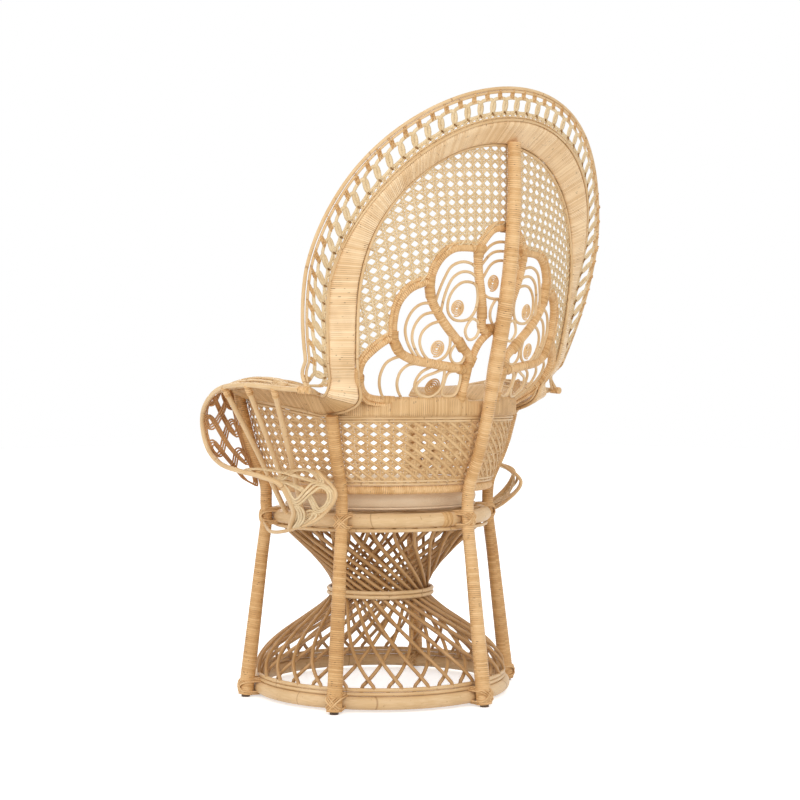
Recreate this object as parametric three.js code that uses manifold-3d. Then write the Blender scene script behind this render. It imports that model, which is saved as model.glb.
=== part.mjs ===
// A rattan peacock chair: an hourglass base of bent strands, a round seat with a cushion,
// a barrel wall of open cane, and a tall oval fan with an openwork border and a scroll motif.
// Millimetres, +Z up, the sitter faces -Y. The model is built round the axis of the base ring
// and moved at the end, so that the origin is the middle of its footprint on the floor.
import * as THREE from "three";
import { mergeVertices } from "three/addons/utils/BufferGeometryUtils.js";
import Module from "manifold-3d";

const wasm = await Module();
wasm.setup();

// Sizes that several pieces share
const clearance = 0.3; // between two pieces that touch
const fitOverrun = 12; // how far a piece runs into its neighbour before it is cut to fit
const fullTurn = 360; // degrees

// Base
const baseRingRadius = 290;
const basePoleRadius = 14.5;
const baseRingLift = 5.5; // from the floor to the underside of the base ring
const lacingRadius = 4.5; // thin rods laced on the base ring
const strandRadius = 4.3;
const strandEase = 2.4; // room between the two layers of strands
const strandCount = 30;
const waistHeight = 234;
const waistHoopRadius = 121.5;
const waistEase = 5; // room under the hoops, where the strands already spread
const waistRodRadius = 4.75;
const lowerTwist = 48; // degrees that a strand turns from the base ring to the waist
const upperTwist = 62; // degrees from the waist to the seat
const flareInset = 5; // of the outer strands' upper ends, inside the middle of the seat ring

// Legs
const footRadius = 17.5;
const legWaistRadius = 13.5; // leg thickness, halved, at the seat ring
const glideRadius = 10;
const glideHeight = 5;
const rearPostAngle = 63.5; // degrees from the middle of the back, towards each side
const frontLegAngle = 118;
const frontLegRise = 12; // of the front legs' tops, above the seat ring

// Seat
const seatRingRadius = 245;
const seatPoleRadius = 16;
const seatTop = 430;
const seatLacingRadius = 4.25;
const deckRodRadius = 5;
const deckRodCount = 5;
const cushionInset = 4; // of the cushion's side, inside the middle of the seat ring
const cushionHeight = 66;
const cushionCrown = 12; // how far the middle stands above the edge

// Barrel wall
const hoopSpread = 9; // how much wider the wall's hoop is than the seat ring
const hoopPoleRadius = 9.5;
const hoopLift = 53; // of the hoop, above the seat ring
const trimRadius = 3;
const wallThickness = 4;
const wallBulge = 8;
const wallEase = 1.8; // room between the wall and the posts, which bear on its hoop
const wallSpread = 55; // how much wider the wall is at the rail than at its hoop
const railLift = 215; // of the rail's underside, above the seat ring
const railHeight = 35;
const railThickness = 17;

// Arm bands
const bandThickness = 16;
const armBandStep = 11; // of the band's lower, inner edge, outside the rail
const armBandSpread = 45; // how much further out its upper edge lies
const armBandRise = 40; // how much higher
const armBandFrontRise = 59; // of the band's front end, above the rail's underside

// Fan
const fanRise = 686; // of the fan's top, above the rail
const rimOverhang = 8; // how far the fan's rim lies outside the rims of the arms
const borderWidth = 72; // of the openwork between the band and the rim
const borderTopWidth = 73;
const rimRodRadius = 5;
const fanBandWidth = 50;
const fanLean = 83; // how far the top leans back behind the rail
const fanCurveRadius = 745; // of the fan, seen from above
const bandFlareDepth = 49; // how far the band's outer edge turns back at the top
const rimFlareDepth = 44;
const rimFlareLowDepth = 15;
const poleTopRadius = 14.5;
const poleMiddleRadius = 17.5;
const fanPanelThickness = 5;
const borderThickness = 4;
const borderLoops = 51;
const motifRodRadius = 9.5;
const scrollRodRadius = 3;

// Arms
const armReach = 147; // of the arm's rim, outside the band's inner edge
const armRimRise = 92; // of the arm's rim, above the rail's underside
const armRimRadius = 5.5;
const lowerRimSpread = 47; // of the lower rim, outside the rail
const lowerRimLift = 107; // of the lower rim, above the seat ring
const lowerRimRadius = 4;
const armRibRadius = 6;
const knotThickness = 5;

// Heights and radii that follow from the sizes above
const baseRingHeight = baseRingLift + basePoleRadius;
const baseRingTop = baseRingHeight + basePoleRadius;
const seatRingHeight = seatTop - seatPoleRadius;
const frontLegTop = seatTop + frontLegRise;
const cushionRadius = seatRingRadius - cushionInset;
const hoopRadius = seatRingRadius + hoopSpread;
const hoopHeight = seatTop + hoopLift;
const railRadius = hoopRadius + wallSpread;
const railBottom = seatTop + railLift;
const railMiddle = railBottom + railHeight / 2;
const railTop = railBottom + railHeight;
const armBandInner = railRadius + armBandStep;
const armBandRear = railBottom - trimRadius + bandThickness / 2; // the band's height at the rear post
const armBandFront = railBottom + armBandFrontRise;
const armRimReach = armBandInner + armReach;
const armRimHeight = railBottom + armRimRise;
const lowerRimReach = railRadius + lowerRimSpread;
const fanHalfWidth = armRimReach + rimOverhang;
const fanHeight = railTop + fanRise;
const fanBandInner = fanHalfWidth - borderWidth - fanBandWidth;
const fanOpeningTop = fanHeight - borderTopWidth - fanBandWidth; // the top of the band's inner edge
const strandLayer = strandRadius + lacingRadius + clearance + strandEase; // between the two layers
const halfPi = Math.PI / 2;
const probeShare = 0.002; // how far along a curve or a sheet its direction is felt for

// Peeled wraps, bare poles, darker bent strands, cane webbing, cushion cloth, and dark glides
const materials = {
  wrap: new THREE.MeshStandardMaterial({ color: 0xddb27a, roughness: 0.55, metalness: 0 }),
  pole: new THREE.MeshStandardMaterial({ color: 0xd2a469, roughness: 0.5, metalness: 0 }),
  strand: new THREE.MeshStandardMaterial({ color: 0xc29355, roughness: 0.5, metalness: 0 }),
  cane: new THREE.MeshStandardMaterial({ color: 0xdfba85, roughness: 0.6, metalness: 0 }),
  fabric: new THREE.MeshStandardMaterial({ color: 0xe3d9cc, roughness: 0.95, metalness: 0 }),
  glide: new THREE.MeshStandardMaterial({ color: 0x4b3d31, roughness: 0.7, metalness: 0 }),
};

const lerp = THREE.MathUtils.lerp;
const clamp = THREE.MathUtils.clamp;
const radians = THREE.MathUtils.degToRad;
const easeOut = (share) => Math.sin(halfPi * clamp(share, 0, 1));

// A point at a radius, at an angle from the middle of the back towards +X, at a height
function polar(radius, degrees, z) {
  return new THREE.Vector3(radius * Math.sin(radians(degrees)), radius * Math.cos(radians(degrees)), z);
}

// The part's pieces, in the order in which they are made
const pieces = [];

function addPiece(name, geometry, material) {
  const mesh = new THREE.Mesh(geometry, material);
  mesh.name = name;
  pieces.push(mesh);
  return mesh;
}

// A copy of a geometry on the other side of the chair
function mirrored(geometry) {
  const copy = geometry.clone();
  copy.scale(-1, 1, 1);
  const order = copy.index.array;
  for (let i = 0; i < order.length; i += 3) {
    const kept = order[i];
    order[i] = order[i + 1];
    order[i + 1] = kept;
  }
  return copy;
}

// Six times the volume that the faces enclose, below zero if they point inwards
function signedVolume(points, order) {
  let total = 0;
  for (let i = 0; i < order.length; i += 3) {
    const a = points[order[i]];
    const b = points[order[i + 1]];
    const c = points[order[i + 2]];
    total += a.dot(new THREE.Vector3().crossVectors(b, c));
  }
  return total;
}

// A closed geometry from its points and faces, turned the right way round
function closedGeometry(points, order) {
  if (signedVolume(points, order) < 0) {
    order.reverse();
  }
  const geometry = new THREE.BufferGeometry();
  geometry.setFromPoints(points);
  geometry.setIndex(order);
  return geometry;
}

// Joins rings of points, each ring with as many points as the next, into one closed skin
function loft(rings, isLoop) {
  const sides = rings[0].length;
  const points = rings.flat();
  const order = [];
  const spans = isLoop ? rings.length : rings.length - 1;
  for (let i = 0; i < spans; i += 1) {
    const here = i * sides;
    const next = ((i + 1) % rings.length) * sides;
    for (let j = 0; j < sides; j += 1) {
      const k = (j + 1) % sides;
      order.push(here + j, next + j, here + k);
      order.push(here + k, next + j, next + k);
    }
  }
  if (!isLoop) {
    const last = (rings.length - 1) * sides;
    for (let j = 1; j < sides - 1; j += 1) {
      order.push(0, j, j + 1);
      order.push(last, last + j + 1, last + j);
    }
  }
  return closedGeometry(points, order);
}

// A round rod along a curve
function rod(curve, radius, sides, steps) {
  const frames = curve.computeFrenetFrames(steps, false);
  const rings = [];
  for (let i = 0; i <= steps; i += 1) {
    const centre = curve.getPointAt(i / steps);
    const ring = [];
    for (let j = 0; j < sides; j += 1) {
      const turn = ((j + 0.5) / sides) * 2 * Math.PI;
      const point = centre.clone();
      point.addScaledVector(frames.normals[i], Math.cos(turn) * radius);
      point.addScaledVector(frames.binormals[i], Math.sin(turn) * radius);
      ring.push(point);
    }
    rings.push(ring);
  }
  return loft(rings, false);
}

// The leg's azimuths, and stations between them, so that each ring has a corner at each leg
const legAngles = [0, rearPostAngle, frontLegAngle, -frontLegAngle, -rearPostAngle];
const spanSteps = [5, 4, 10, 4, 5];
const ringStations = legAngles.flatMap((start, i) => {
  const end = i < legAngles.length - 1 ? legAngles[i + 1] : 0;
  const span = (end - start + fullTurn) % fullTurn;
  return Array.from({ length: spanSteps[i] }, (_, k) => start + (span * k) / spanSteps[i]);
});

// The corners of a pole's section that stands square to its path, the first one towards the outside
function poleSection(centre, along, outward, radius, sides) {
  const side = new THREE.Vector3().crossVectors(along, outward).normalize();
  const out = new THREE.Vector3().crossVectors(side, along).normalize();
  const corners = [];
  for (let j = 0; j < sides; j += 1) {
    const turn = (2 * Math.PI * j) / sides;
    const corner = centre.clone().addScaledVector(out, Math.cos(turn) * radius);
    corners.push(corner.addScaledVector(side, Math.sin(turn) * radius));
  }
  return corners;
}

// A level run of pole round the axis, through the given azimuths
function levelPole(radius, poleRadius, z, sides, stations, isLoop) {
  const rings = stations.map((degrees) => {
    const outward = polar(1, degrees, 0);
    const along = polar(1, degrees + 90, 0);
    return poleSection(polar(radius, degrees, z), along, outward, poleRadius, sides);
  });
  return loft(rings, isLoop);
}

const hoop = (radius, poleRadius, z, sides) => levelPole(radius, poleRadius, z, sides, ringStations, true);

// A pole that stands up at one azimuth, with one row of corners facing the axis. Its radius is a
// function of the share of its length, and its level ends are sawn flat.
function standingPole(points, degrees, radius, sides, steps, levelEnds = [0]) {
  const curve = smoothCurve(points);
  const inward = polar(-1, degrees, 0);
  const rings = [];
  for (let i = 0; i <= steps; i += 1) {
    const share = i / steps;
    const centre = curve.getPointAt(share);
    const along = curve.getTangentAt(share);
    const corners = poleSection(centre, along, inward, radius(share), sides);
    if (levelEnds.includes(share)) {
      corners.forEach((corner) => corner.addScaledVector(along, (centre.z - corner.z) / along.z));
    }
    rings.push(corners);
  }
  return loft(rings, false);
}

// A geometry as a solid that can be cut and joined, and the way back
function solidOf(geometry) {
  const bare = new THREE.BufferGeometry();
  bare.setAttribute("position", geometry.getAttribute("position"));
  bare.setIndex(geometry.index);
  const merged = mergeVertices(bare);
  const vertProperties = new Float32Array(merged.getAttribute("position").array);
  const triVerts = new Uint32Array(merged.index.array);
  return new wasm.Manifold(new wasm.Mesh({ numProp: 3, vertProperties, triVerts }));
}

function geometryOf(solid) {
  const mesh = solid.getMesh();
  const geometry = new THREE.BufferGeometry();
  const positions = new Float32Array(mesh.numVert * 3);
  for (let i = 0; i < mesh.numVert; i += 1) {
    positions.set(mesh.vertProperties.subarray(i * mesh.numProp, i * mesh.numProp + 3), i * 3);
  }
  geometry.setAttribute("position", new THREE.BufferAttribute(positions, 3));
  geometry.setIndex(new THREE.BufferAttribute(new Uint32Array(mesh.triVerts), 1));
  return geometry;
}

function joined(geometries) {
  return geometryOf(geometries.map(solidOf).reduce((all, next) => all.add(next)));
}

// A piece cut to fit its neighbours: the largest part that is left is the piece
function fitted(geometry, neighbours) {
  let solid = solidOf(geometry);
  for (const neighbour of neighbours) {
    solid = solid.subtract(solidOf(neighbour));
  }
  const parts = solid.decompose();
  parts.sort((a, b) => b.volume() - a.volume());
  return geometryOf(parts[0]);
}

// A curve given by a function of the share of its length
class ShapedCurve extends THREE.Curve {
  constructor(pointAt) {
    super();
    this.pointAt = pointAt;
  }
  getPoint(share) {
    return this.pointAt(share);
  }
}

// A point between two others, short of each by a gap
function between(start, end, startGap, endGap, across) {
  const apart = start.distanceTo(end);
  return start.clone().lerp(end, lerp(startGap / apart, 1 - endGap / apart, across));
}

const smoothCurve = (points) => new THREE.CatmullRomCurve3(points, false, "centripetal");

// Openwork: a sheet of cells, each with one hole. The map gives a point of the sheet for a share
// along it and a share across it. The hole's outline is in shares of one cell.
function openwork(map, columns, rows, holeShares, thickness) {
  const corners = [[0, 0], [1, 0], [1, 1], [0, 1]].map(([along, across]) => new THREE.Vector2(along, across));
  const hole = holeShares.map(([along, across]) => new THREE.Vector2(along, across));
  const faces = THREE.ShapeUtils.triangulateShape(corners, [hole]);
  const points = [];
  const order = [];
  const corner = (i, j) => (j * (columns + 1) + i) * 2;
  const place = (along, across) => {
    const a = clamp(along, probeShare, 1 - probeShare);
    const b = clamp(across, probeShare, 1 - probeShare);
    const sideways = map(a + probeShare, b).sub(map(a - probeShare, b));
    const upwards = map(a, b + probeShare).sub(map(a, b - probeShare));
    const normal = sideways.cross(upwards).normalize();
    const middle = map(along, across);
    points.push(middle.clone().addScaledVector(normal, thickness / 2));
    points.push(middle.clone().addScaledVector(normal, -thickness / 2));
  };
  for (let j = 0; j <= rows; j += 1) {
    for (let i = 0; i <= columns; i += 1) {
      place(i / columns, j / rows);
    }
  }
  const wall = (a, b) => {
    order.push(a, b, a + 1);
    order.push(b, b + 1, a + 1);
  };
  for (let j = 0; j < rows; j += 1) {
    for (let i = 0; i < columns; i += 1) {
      const first = points.length;
      hole.forEach(({ x, y }) => place((i + x) / columns, (j + y) / rows));
      const indexOf = [corner(i, j), corner(i + 1, j), corner(i + 1, j + 1), corner(i, j + 1)];
      hole.forEach((_, k) => indexOf.push(first + 2 * k));
      for (const [a, b, c] of faces) {
        order.push(indexOf[a], indexOf[b], indexOf[c]);
        order.push(indexOf[c] + 1, indexOf[b] + 1, indexOf[a] + 1);
      }
      hole.forEach((_, k) => wall(first + 2 * k, first + 2 * ((k + 1) % hole.length)));
    }
  }
  for (let i = 0; i < columns; i += 1) {
    wall(corner(i + 1, 0), corner(i, 0));
    wall(corner(i, rows), corner(i + 1, rows));
  }
  for (let j = 0; j < rows; j += 1) {
    wall(corner(0, j), corner(0, j + 1));
    wall(corner(columns, j + 1), corner(columns, j));
  }
  return closedGeometry(points, order);
}

// A flat band between two edge curves, with eased edges
const bandSectionShares = [[0, 0], [0.12, -1], [0.88, -1], [1, 0], [0.88, 1], [0.12, 1]];

function band(innerEdge, outerEdge, from, to, steps, grow) {
  const rings = [];
  for (let i = 0; i <= steps; i += 1) {
    const share = lerp(from, to, i / steps);
    const inner = innerEdge.getPoint(share);
    const across = outerEdge.getPoint(share).sub(inner);
    const before = innerEdge.getPoint(Math.max(share - probeShare, 0));
    const ahead = innerEdge.getPoint(Math.min(share + probeShare, 1)).sub(before);
    const normal = new THREE.Vector3().crossVectors(across, ahead).normalize();
    const growShare = grow / across.length();
    rings.push(
      bandSectionShares.map(([width, depth]) =>
        inner
          .clone()
          .addScaledVector(across, lerp(-growShare, 1 + growShare, width))
          .addScaledVector(normal, depth * (bandThickness / 2 + grow)),
      ),
    );
  }
  return loft(rings, false);
}

// The surface of the fan: its depth at the middle, and how it curves forward towards its sides
const leanPower = 0.9;
const fullCurveShare = 0.36; // of the height from the rail to the rim's centre, where the fan curves least

// Heights above the rail, in shares of the fan's rise
const rimCentreShare = 0.394; // where the rim is widest
const rimBelowShare = 0.831; // half height of the rim's oval below that
const bandCentreShare = 0.3645; // where the band is widest
const leanShare = 0.7; // above this height the fan is upright
const bandFlareShares = { start: 0.379, rise: 0.4665 };
const rimFlareShares = { start: 0.16, rise: 0.481 };
const rimCentre = railTop + fanRise * rimCentreShare;
const rimBelow = fanRise * rimBelowShare;
const fanBandCentre = railTop + fanRise * bandCentreShare;
const leanTop = railTop + fanRise * leanShare;

function fanDepth(z) {
  const lean = easeOut((z - railMiddle) / (leanTop - railMiddle));
  return railRadius + fanLean * lean ** leanPower;
}

function fanPoint(x, z, back = 0) {
  const rounding = easeOut((z - railTop) / (fanBandCentre + fanBandWidth - railTop) / fullCurveShare);
  const radius = lerp(railRadius, fanCurveRadius, rounding);
  const inside = Math.max(radius * radius - x * x, 0);
  return new THREE.Vector3(x, fanDepth(z) - radius + Math.sqrt(inside) + back, z);
}

// How far up a flare a height is, in shares of it
const upFlare = (z, { start, rise }) => (z - railTop - fanRise * start) / (fanRise * rise);
const bandFlareAt = (z) => bandFlareDepth * easeOut(upFlare(z, bandFlareShares));
const rimFlareAt = (z) => rimFlareLowDepth + rimFlareDepth * easeOut(upFlare(z, rimFlareShares));

// Stations round the fan, as angles from its widest height, from the left side up over the top
const sideAngles = [-21, -15, 0, 22.5, 45, 67.5];
const fanAngles = [...sideAngles, 90, ...sideAngles.map((angle) => 180 - angle).reverse()];

// A point on one of the fan's ovals, given by its half widths, half heights and middle height
function ovalPoint(angle, halfWidth, rise, below, centre) {
  const x = halfWidth * Math.cos(radians(angle));
  const upright = Math.sin(radians(angle));
  return [x, centre + (upright > 0 ? rise : below) * upright];
}

function rimPoint(angle, inset) {
  const [x, z] = ovalPoint(angle, fanHalfWidth - inset, fanHeight - rimCentre - inset, rimBelow, rimCentre);
  return fanPoint(x, z, rimFlareAt(z));
}

// The two edges of the wrapped band, from the front of the left arm, over the fan, to the right arm
const armAngles = [frontLegAngle + 3, 104, 90, 76, 67];
const bandCornerShares = {
  inner: { out: 0.971, depth: 0.69, rise: -0.06 }, // of the rail's radius, and of the band's width
  outer: { out: 1.117, depth: 0.67, rise: 0.34 },
};

function armBandHeight(degrees) {
  const share = (degrees - rearPostAngle) / (frontLegAngle - rearPostAngle);
  return lerp(armBandRear, armBandFront, share);
}

function sideBandPoint(angle, isOuter) {
  const width = isOuter ? fanBandWidth : 0;
  const rise = fanOpeningTop - fanBandCentre + width;
  const [x, z] = ovalPoint(angle, fanBandInner + width, rise, rimBelow, fanBandCentre);
  return fanPoint(x, z, isOuter ? bandFlareAt(z) : 0);
}

function bandEdge(isOuter) {
  const outward = isOuter ? armBandSpread : 0;
  const upward = isOuter ? armBandRise : 0;
  const arm = armAngles.map((degrees) =>
    polar(armBandInner + outward, degrees, armBandHeight(degrees) + upward),
  );
  const shares = isOuter ? bandCornerShares.outer : bandCornerShares.inner;
  const corner = new THREE.Vector3(
    railRadius * shares.out,
    railRadius * shares.depth,
    railTop + fanBandWidth * shares.rise,
  );
  const left = [...arm, corner];
  const right = left.map((point) => new THREE.Vector3(-point.x, point.y, point.z)).reverse();
  const over = fanAngles.map((angle) => sideBandPoint(angle, isOuter));
  return new THREE.CatmullRomCurve3([...left, ...over, ...right], false, "catmullrom", 0.5);
}

const innerEdge = bandEdge(false);
const outerEdge = bandEdge(true);
const bandSpans = innerEdge.points.length - 1;
const bandCornerShare = armAngles.length / bandSpans; // where the arm's band gives way to the fan's
const bandSplit = clearance / (fanBandWidth * bandSpans); // share that parts the two bands

const fanBandSteps = 34;
const fanBandStart = bandCornerShare + bandSplit;
const fanBandSolid = (grow) => band(innerEdge, outerEdge, fanBandStart, 1 - fanBandStart, fanBandSteps, grow);
const armBandSolid = (grow) => band(innerEdge, outerEdge, 0, bandCornerShare - bandSplit, 10, grow);

// The barrel wall, from the hoop up to the rail, and up to the arm bands at the sides
const bandReach = 9; // degrees that the arm's band runs past the rear post, along the rail
const bandEase = 6; // degrees in which the wall's top passes from the rail to the band

function wallTop(degrees) {
  const side = Math.abs(degrees);
  const beside = clamp((side - rearPostAngle + bandReach) / bandEase, 0, 1);
  const bandRadius = armBandInner - trimRadius;
  const bandHeight = armBandHeight(side) - bandThickness / 2 - clearance;
  return {
    radius: lerp(railRadius, bandRadius, beside),
    height: lerp(railBottom - trimRadius - clearance, bandHeight, beside),
  };
}

function wallRadius(degrees, z) {
  const top = wallTop(degrees);
  const share = (z - hoopHeight) / (top.height - hoopHeight);
  const bulge = wallBulge * Math.sin(Math.PI * clamp(share, 0, 1));
  return lerp(hoopRadius, top.radius, share) + bulge;
}

// The legs stand outside both rings and touch them
function legRadius(z) {
  const atBase = baseRingRadius + basePoleRadius + clearance + footRadius;
  const atSeat = seatRingRadius + seatPoleRadius + clearance + legWaistRadius;
  return lerp(atBase, atSeat, (z - baseRingHeight) / (seatRingHeight - baseRingHeight));
}

// A post that stands against the outside of the barrel wall
function postRadius(degrees, z, thickness) {
  const atHoop = hoopRadius + hoopPoleRadius + clearance + thickness;
  if (z < hoopHeight) {
    return lerp(legRadius(seatRingHeight), atHoop, (z - seatRingHeight) / (hoopHeight - seatRingHeight));
  }
  return Math.max(wallRadius(degrees, z) + trimRadius + wallEase + thickness, atHoop);
}

const legFoot = glideHeight + clearance;
const legThickness = (share) => lerp(footRadius, legWaistRadius, share);

function legPoints(degrees, top) {
  const heightShares = [0, 0.25, 0.5, 0.75, 1];
  return heightShares.map((share) => {
    const z = lerp(legFoot, top, share);
    return polar(legRadius(z), degrees, z);
  });
}

function frontLeg(grow = 0) {
  const thickness = (share) => legThickness(share) + grow;
  return standingPole(legPoints(frontLegAngle, frontLegTop), frontLegAngle, thickness, 7, 4, [0, 1]);
}

function rearPost(grow = 0) {
  const topHeight = armBandRear + fitOverrun;
  const wallShares = [0, 0.2, 0.4, 0.6, 0.8, 1];
  const points = legPoints(rearPostAngle, seatRingHeight);
  for (const share of wallShares) {
    const z = lerp(hoopHeight, topHeight, share);
    points.push(polar(postRadius(rearPostAngle, z, legWaistRadius), rearPostAngle, z));
  }
  const seatShare = seatRingHeight / topHeight;
  const thickness = (share) => legThickness(clamp(share / seatShare, 0, 1)) + grow;
  return standingPole(points, rearPostAngle, thickness, 7, 10);
}

// The middle pole runs from the floor, past the rail, up the back of the fan
function rearPole() {
  const poleTop = fanOpeningTop + fitOverrun;
  const points = legPoints(0, seatRingHeight);
  const wallShares = [0, 0.5, 1];
  for (const share of wallShares) {
    const z = lerp(hoopHeight, railBottom, share);
    const againstRail = railRadius + railThickness / 2 + clearance + poleTopRadius;
    points.push(new THREE.Vector3(0, share < 1 ? postRadius(0, z, poleTopRadius) : againstRail, z));
  }
  const fanShares = [0.12, 0.3, 0.5, 0.75, 1];
  for (const share of fanShares) {
    const z = lerp(railTop, poleTop, share);
    const thickness = lerp(poleMiddleRadius, poleTopRadius, share);
    points.push(new THREE.Vector3(0, fanDepth(z) + fanPanelThickness / 2 + clearance + thickness, z));
  }
  const seatShare = seatRingHeight / poleTop;
  const middleShare = railTop / poleTop;
  const thickness = (share) => {
    if (share < seatShare) {
      return lerp(footRadius, legWaistRadius, share / seatShare);
    }
    if (share < middleShare) {
      return lerp(legWaistRadius, poleTopRadius, (share - seatShare) / (middleShare - seatShare));
    }
    return poleTopRadius;
  };
  return standingPole(points, 0, thickness, 7, 16);
}

function glide(degrees) {
  const geometry = new THREE.CylinderGeometry(glideRadius, glideRadius, glideHeight, 10);
  geometry.deleteAttribute("normal");
  geometry.deleteAttribute("uv");
  geometry.rotateX(halfPi);
  const foot = polar(legRadius(legFoot), degrees, glideHeight / 2);
  geometry.translate(foot.x, foot.y, foot.z);
  return mergeVertices(geometry);
}

// The hourglass: two layers of strands that turn opposite ways, pinched by the waist hoops
const strandBottom = baseRingTop + 4 * lacingRadius + 2 * clearance;
const strandTop = seatTop - 2 * seatPoleRadius - clearance;
const waistStrandRadius = waistHoopRadius - waistRodRadius - clearance - strandRadius - waistEase;
const flareTop = seatRingRadius - flareInset;

const lowerFlarePower = 1.5;
const upperFlarePower = 0.85;
const lateTwistShare = 0.38; // of the lower twist, which comes just under the waist
const lateTwistPower = 5;

// The outer layer's radius at a height, and how far a strand has turned there
function strandProfile(z) {
  if (z < waistHeight) {
    const share = clamp((waistHeight - z) / (waistHeight - strandBottom), 0, 1);
    const rise = 1 - share;
    return {
      radius: lerp(waistStrandRadius, baseRingRadius, Math.sin(halfPi * share) ** lowerFlarePower),
      twist: lowerTwist * lerp(rise, rise ** lateTwistPower, lateTwistShare),
    };
  }
  const share = (z - waistHeight) / (strandTop - waistHeight);
  return {
    radius: lerp(waistStrandRadius, flareTop, (1 - Math.cos(halfPi * share)) ** upperFlarePower),
    twist: lowerTwist + upperTwist * (1 - (1 - share) ** 2),
  };
}

// The inner layer lies inside the outer one, measured square to its surface
function strandPoint(z, start, isOuter) {
  const { radius, twist } = strandProfile(z);
  if (isOuter) {
    return polar(radius, start + twist, z);
  }
  const step = strandRadius;
  const slope = (strandProfile(z + step).radius - strandProfile(z - step).radius) / (2 * step);
  const inward = strandLayer / Math.hypot(1, slope);
  return polar(radius - inward, start - twist, z + slope * inward);
}

const strandSides = 3;
const strandTiltShare = 0.62; // of a strand's radius, that its slanted end reaches beyond its middle
const strandTilt = strandRadius * strandTiltShare;
const whittledShare = 0.25;
const innerStrandTop = strandTop - 2 * seatLacingRadius;
const strandLevelShares = [0, 0.26, 0.46, 0.54, 0.72, 1];

function strands(isOuter) {
  const bottom = isOuter ? baseRingTop + 3 * lacingRadius : baseRingTop + clearance + strandTilt;
  const top = isOuter ? strandTop - strandTilt : innerStrandTop;
  const start = isOuter ? 0 : fullTurn / 2 / strandCount;
  const all = [];
  for (let i = 0; i < strandCount; i += 1) {
    const angle = start + (i * fullTurn) / strandCount;
    const points = strandLevelShares.map((share) => strandPoint(lerp(bottom, top, share), angle, isOuter));
    all.push(strandRod(points, isOuter ? 0 : points.length - 1));
  }
  return all;
}

// One strand: a rod of a few sides with a ring at each of its points, whittled at the end that is
// bound into a hoop
function strandRod(points, boundEnd) {
  const rings = points.map((point, i) => {
    const before = points[Math.max(i - 1, 0)];
    const after = points[Math.min(i + 1, points.length - 1)];
    const along = after.clone().sub(before).normalize();
    const outward = new THREE.Vector3(point.x, point.y, 0).normalize();
    const size = i === boundEnd ? strandRadius * whittledShare : strandRadius;
    return poleSection(point, along, outward, size, strandSides);
  });
  return loft(rings, false);
}

function outerStrands() {
  const lacingHeight = baseRingTop + 3 * lacingRadius + 2 * clearance;
  return joined([hoop(baseRingRadius, lacingRadius, lacingHeight, 4), ...strands(true)]);
}

function innerStrands() {
  const end = strandPoint(innerStrandTop, 0, false);
  const lacing = hoop(Math.hypot(end.x, end.y), seatLacingRadius, end.z, 4);
  return joined([lacing, ...strands(false)]);
}

// The seat: a thick ring, a deck of rods inside it, and a crowned cushion
const seatRing = (radius) => hoop(seatRingRadius, radius, seatRingHeight, 8);

function seatDeck() {
  const height = seatTop - deckRodRadius * Math.SQRT1_2; // the rods' flat sides lie level with the ring
  const spacing = (2 * seatRingRadius) / (deckRodCount + 1);
  const across = [];
  for (let i = 1; i <= deckRodCount; i += 1) {
    const y = i * spacing - seatRingRadius;
    const half = Math.sqrt(seatRingRadius ** 2 - y ** 2);
    const end = new THREE.Vector3(half, y, height);
    across.push(rod(new THREE.LineCurve3(new THREE.Vector3(-half, y, height), end), deckRodRadius, 4, 1));
  }
  const crossBars = [-1, 1].map((side) => {
    const x = (side * seatRingRadius) / 3;
    const half = Math.sqrt(seatRingRadius ** 2 - x ** 2);
    const low = height - deckRodRadius;
    return rod(
      new THREE.LineCurve3(new THREE.Vector3(x, -half, low), new THREE.Vector3(x, half, low)),
      deckRodRadius,
      4,
      1,
    );
  });
  return fitted(joined([...across, ...crossBars]), [seatRing(seatPoleRadius + clearance)]);
}

// Half the cushion's section, in shares of its radius, of its edge's height and of its crown
const cushionShares = [
  [0, 0, 0],
  [0.9, 0, 0],
  [0.972, 0.2, 0],
  [1, 0.5, 0],
  [0.972, 0.82, 0],
  [0.9, 1, 0],
  [0.7, 1, 0.6],
  [0.4, 1, 0.92],
  [0, 1, 1],
];

function cushion() {
  const bottom = seatTop + clearance;
  const edgeHeight = cushionHeight - cushionCrown;
  const profile = cushionShares.map(
    ([out, edge, crown]) =>
      new THREE.Vector2(cushionRadius * out, bottom + edgeHeight * edge + cushionCrown * crown),
  );
  const geometry = new THREE.LatheGeometry(profile, 24);
  geometry.deleteAttribute("normal");
  geometry.deleteAttribute("uv");
  geometry.rotateX(halfPi);
  const merged = mergeVertices(geometry);
  const points = [];
  const position = merged.getAttribute("position");
  for (let i = 0; i < position.count; i += 1) {
    points.push(new THREE.Vector3().fromBufferAttribute(position, i));
  }
  const order = [];
  for (let i = 0; i < merged.index.count; i += 3) {
    const face = [0, 1, 2].map((k) => merged.index.getX(i + k));
    if (new Set(face).size === 3) {
      order.push(...face);
    }
  }
  return closedGeometry(points, order);
}

// The barrel wall's hoop, trims and cane
const wallOverrun = 2.5; // degrees that the wall runs past the front legs
const wallReach = frontLegAngle + wallOverrun;
const wallColumns = 20;
const wallRows = 3;

function wallHoop() {
  const halfTurn = fullTurn / 2;
  const signed = ringStations.map((degrees) => (degrees > halfTurn ? degrees - fullTurn : degrees));
  const backward = signed.filter((degrees) => Math.abs(degrees) <= frontLegAngle).sort((a, b) => a - b);
  const stations = [-wallReach, ...backward, wallReach];
  return levelPole(hoopRadius, hoopPoleRadius, hoopHeight, 8, stations, false);
}

const lowerTrimHeight = hoopHeight + hoopPoleRadius + trimRadius + clearance;

function wallLowerTrim() {
  const curve = new ShapedCurve((share) => {
    const degrees = lerp(-wallReach, wallReach, share);
    return polar(wallRadius(degrees, lowerTrimHeight), degrees, lowerTrimHeight);
  });
  return rod(curve, trimRadius, 4, wallColumns);
}

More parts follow.
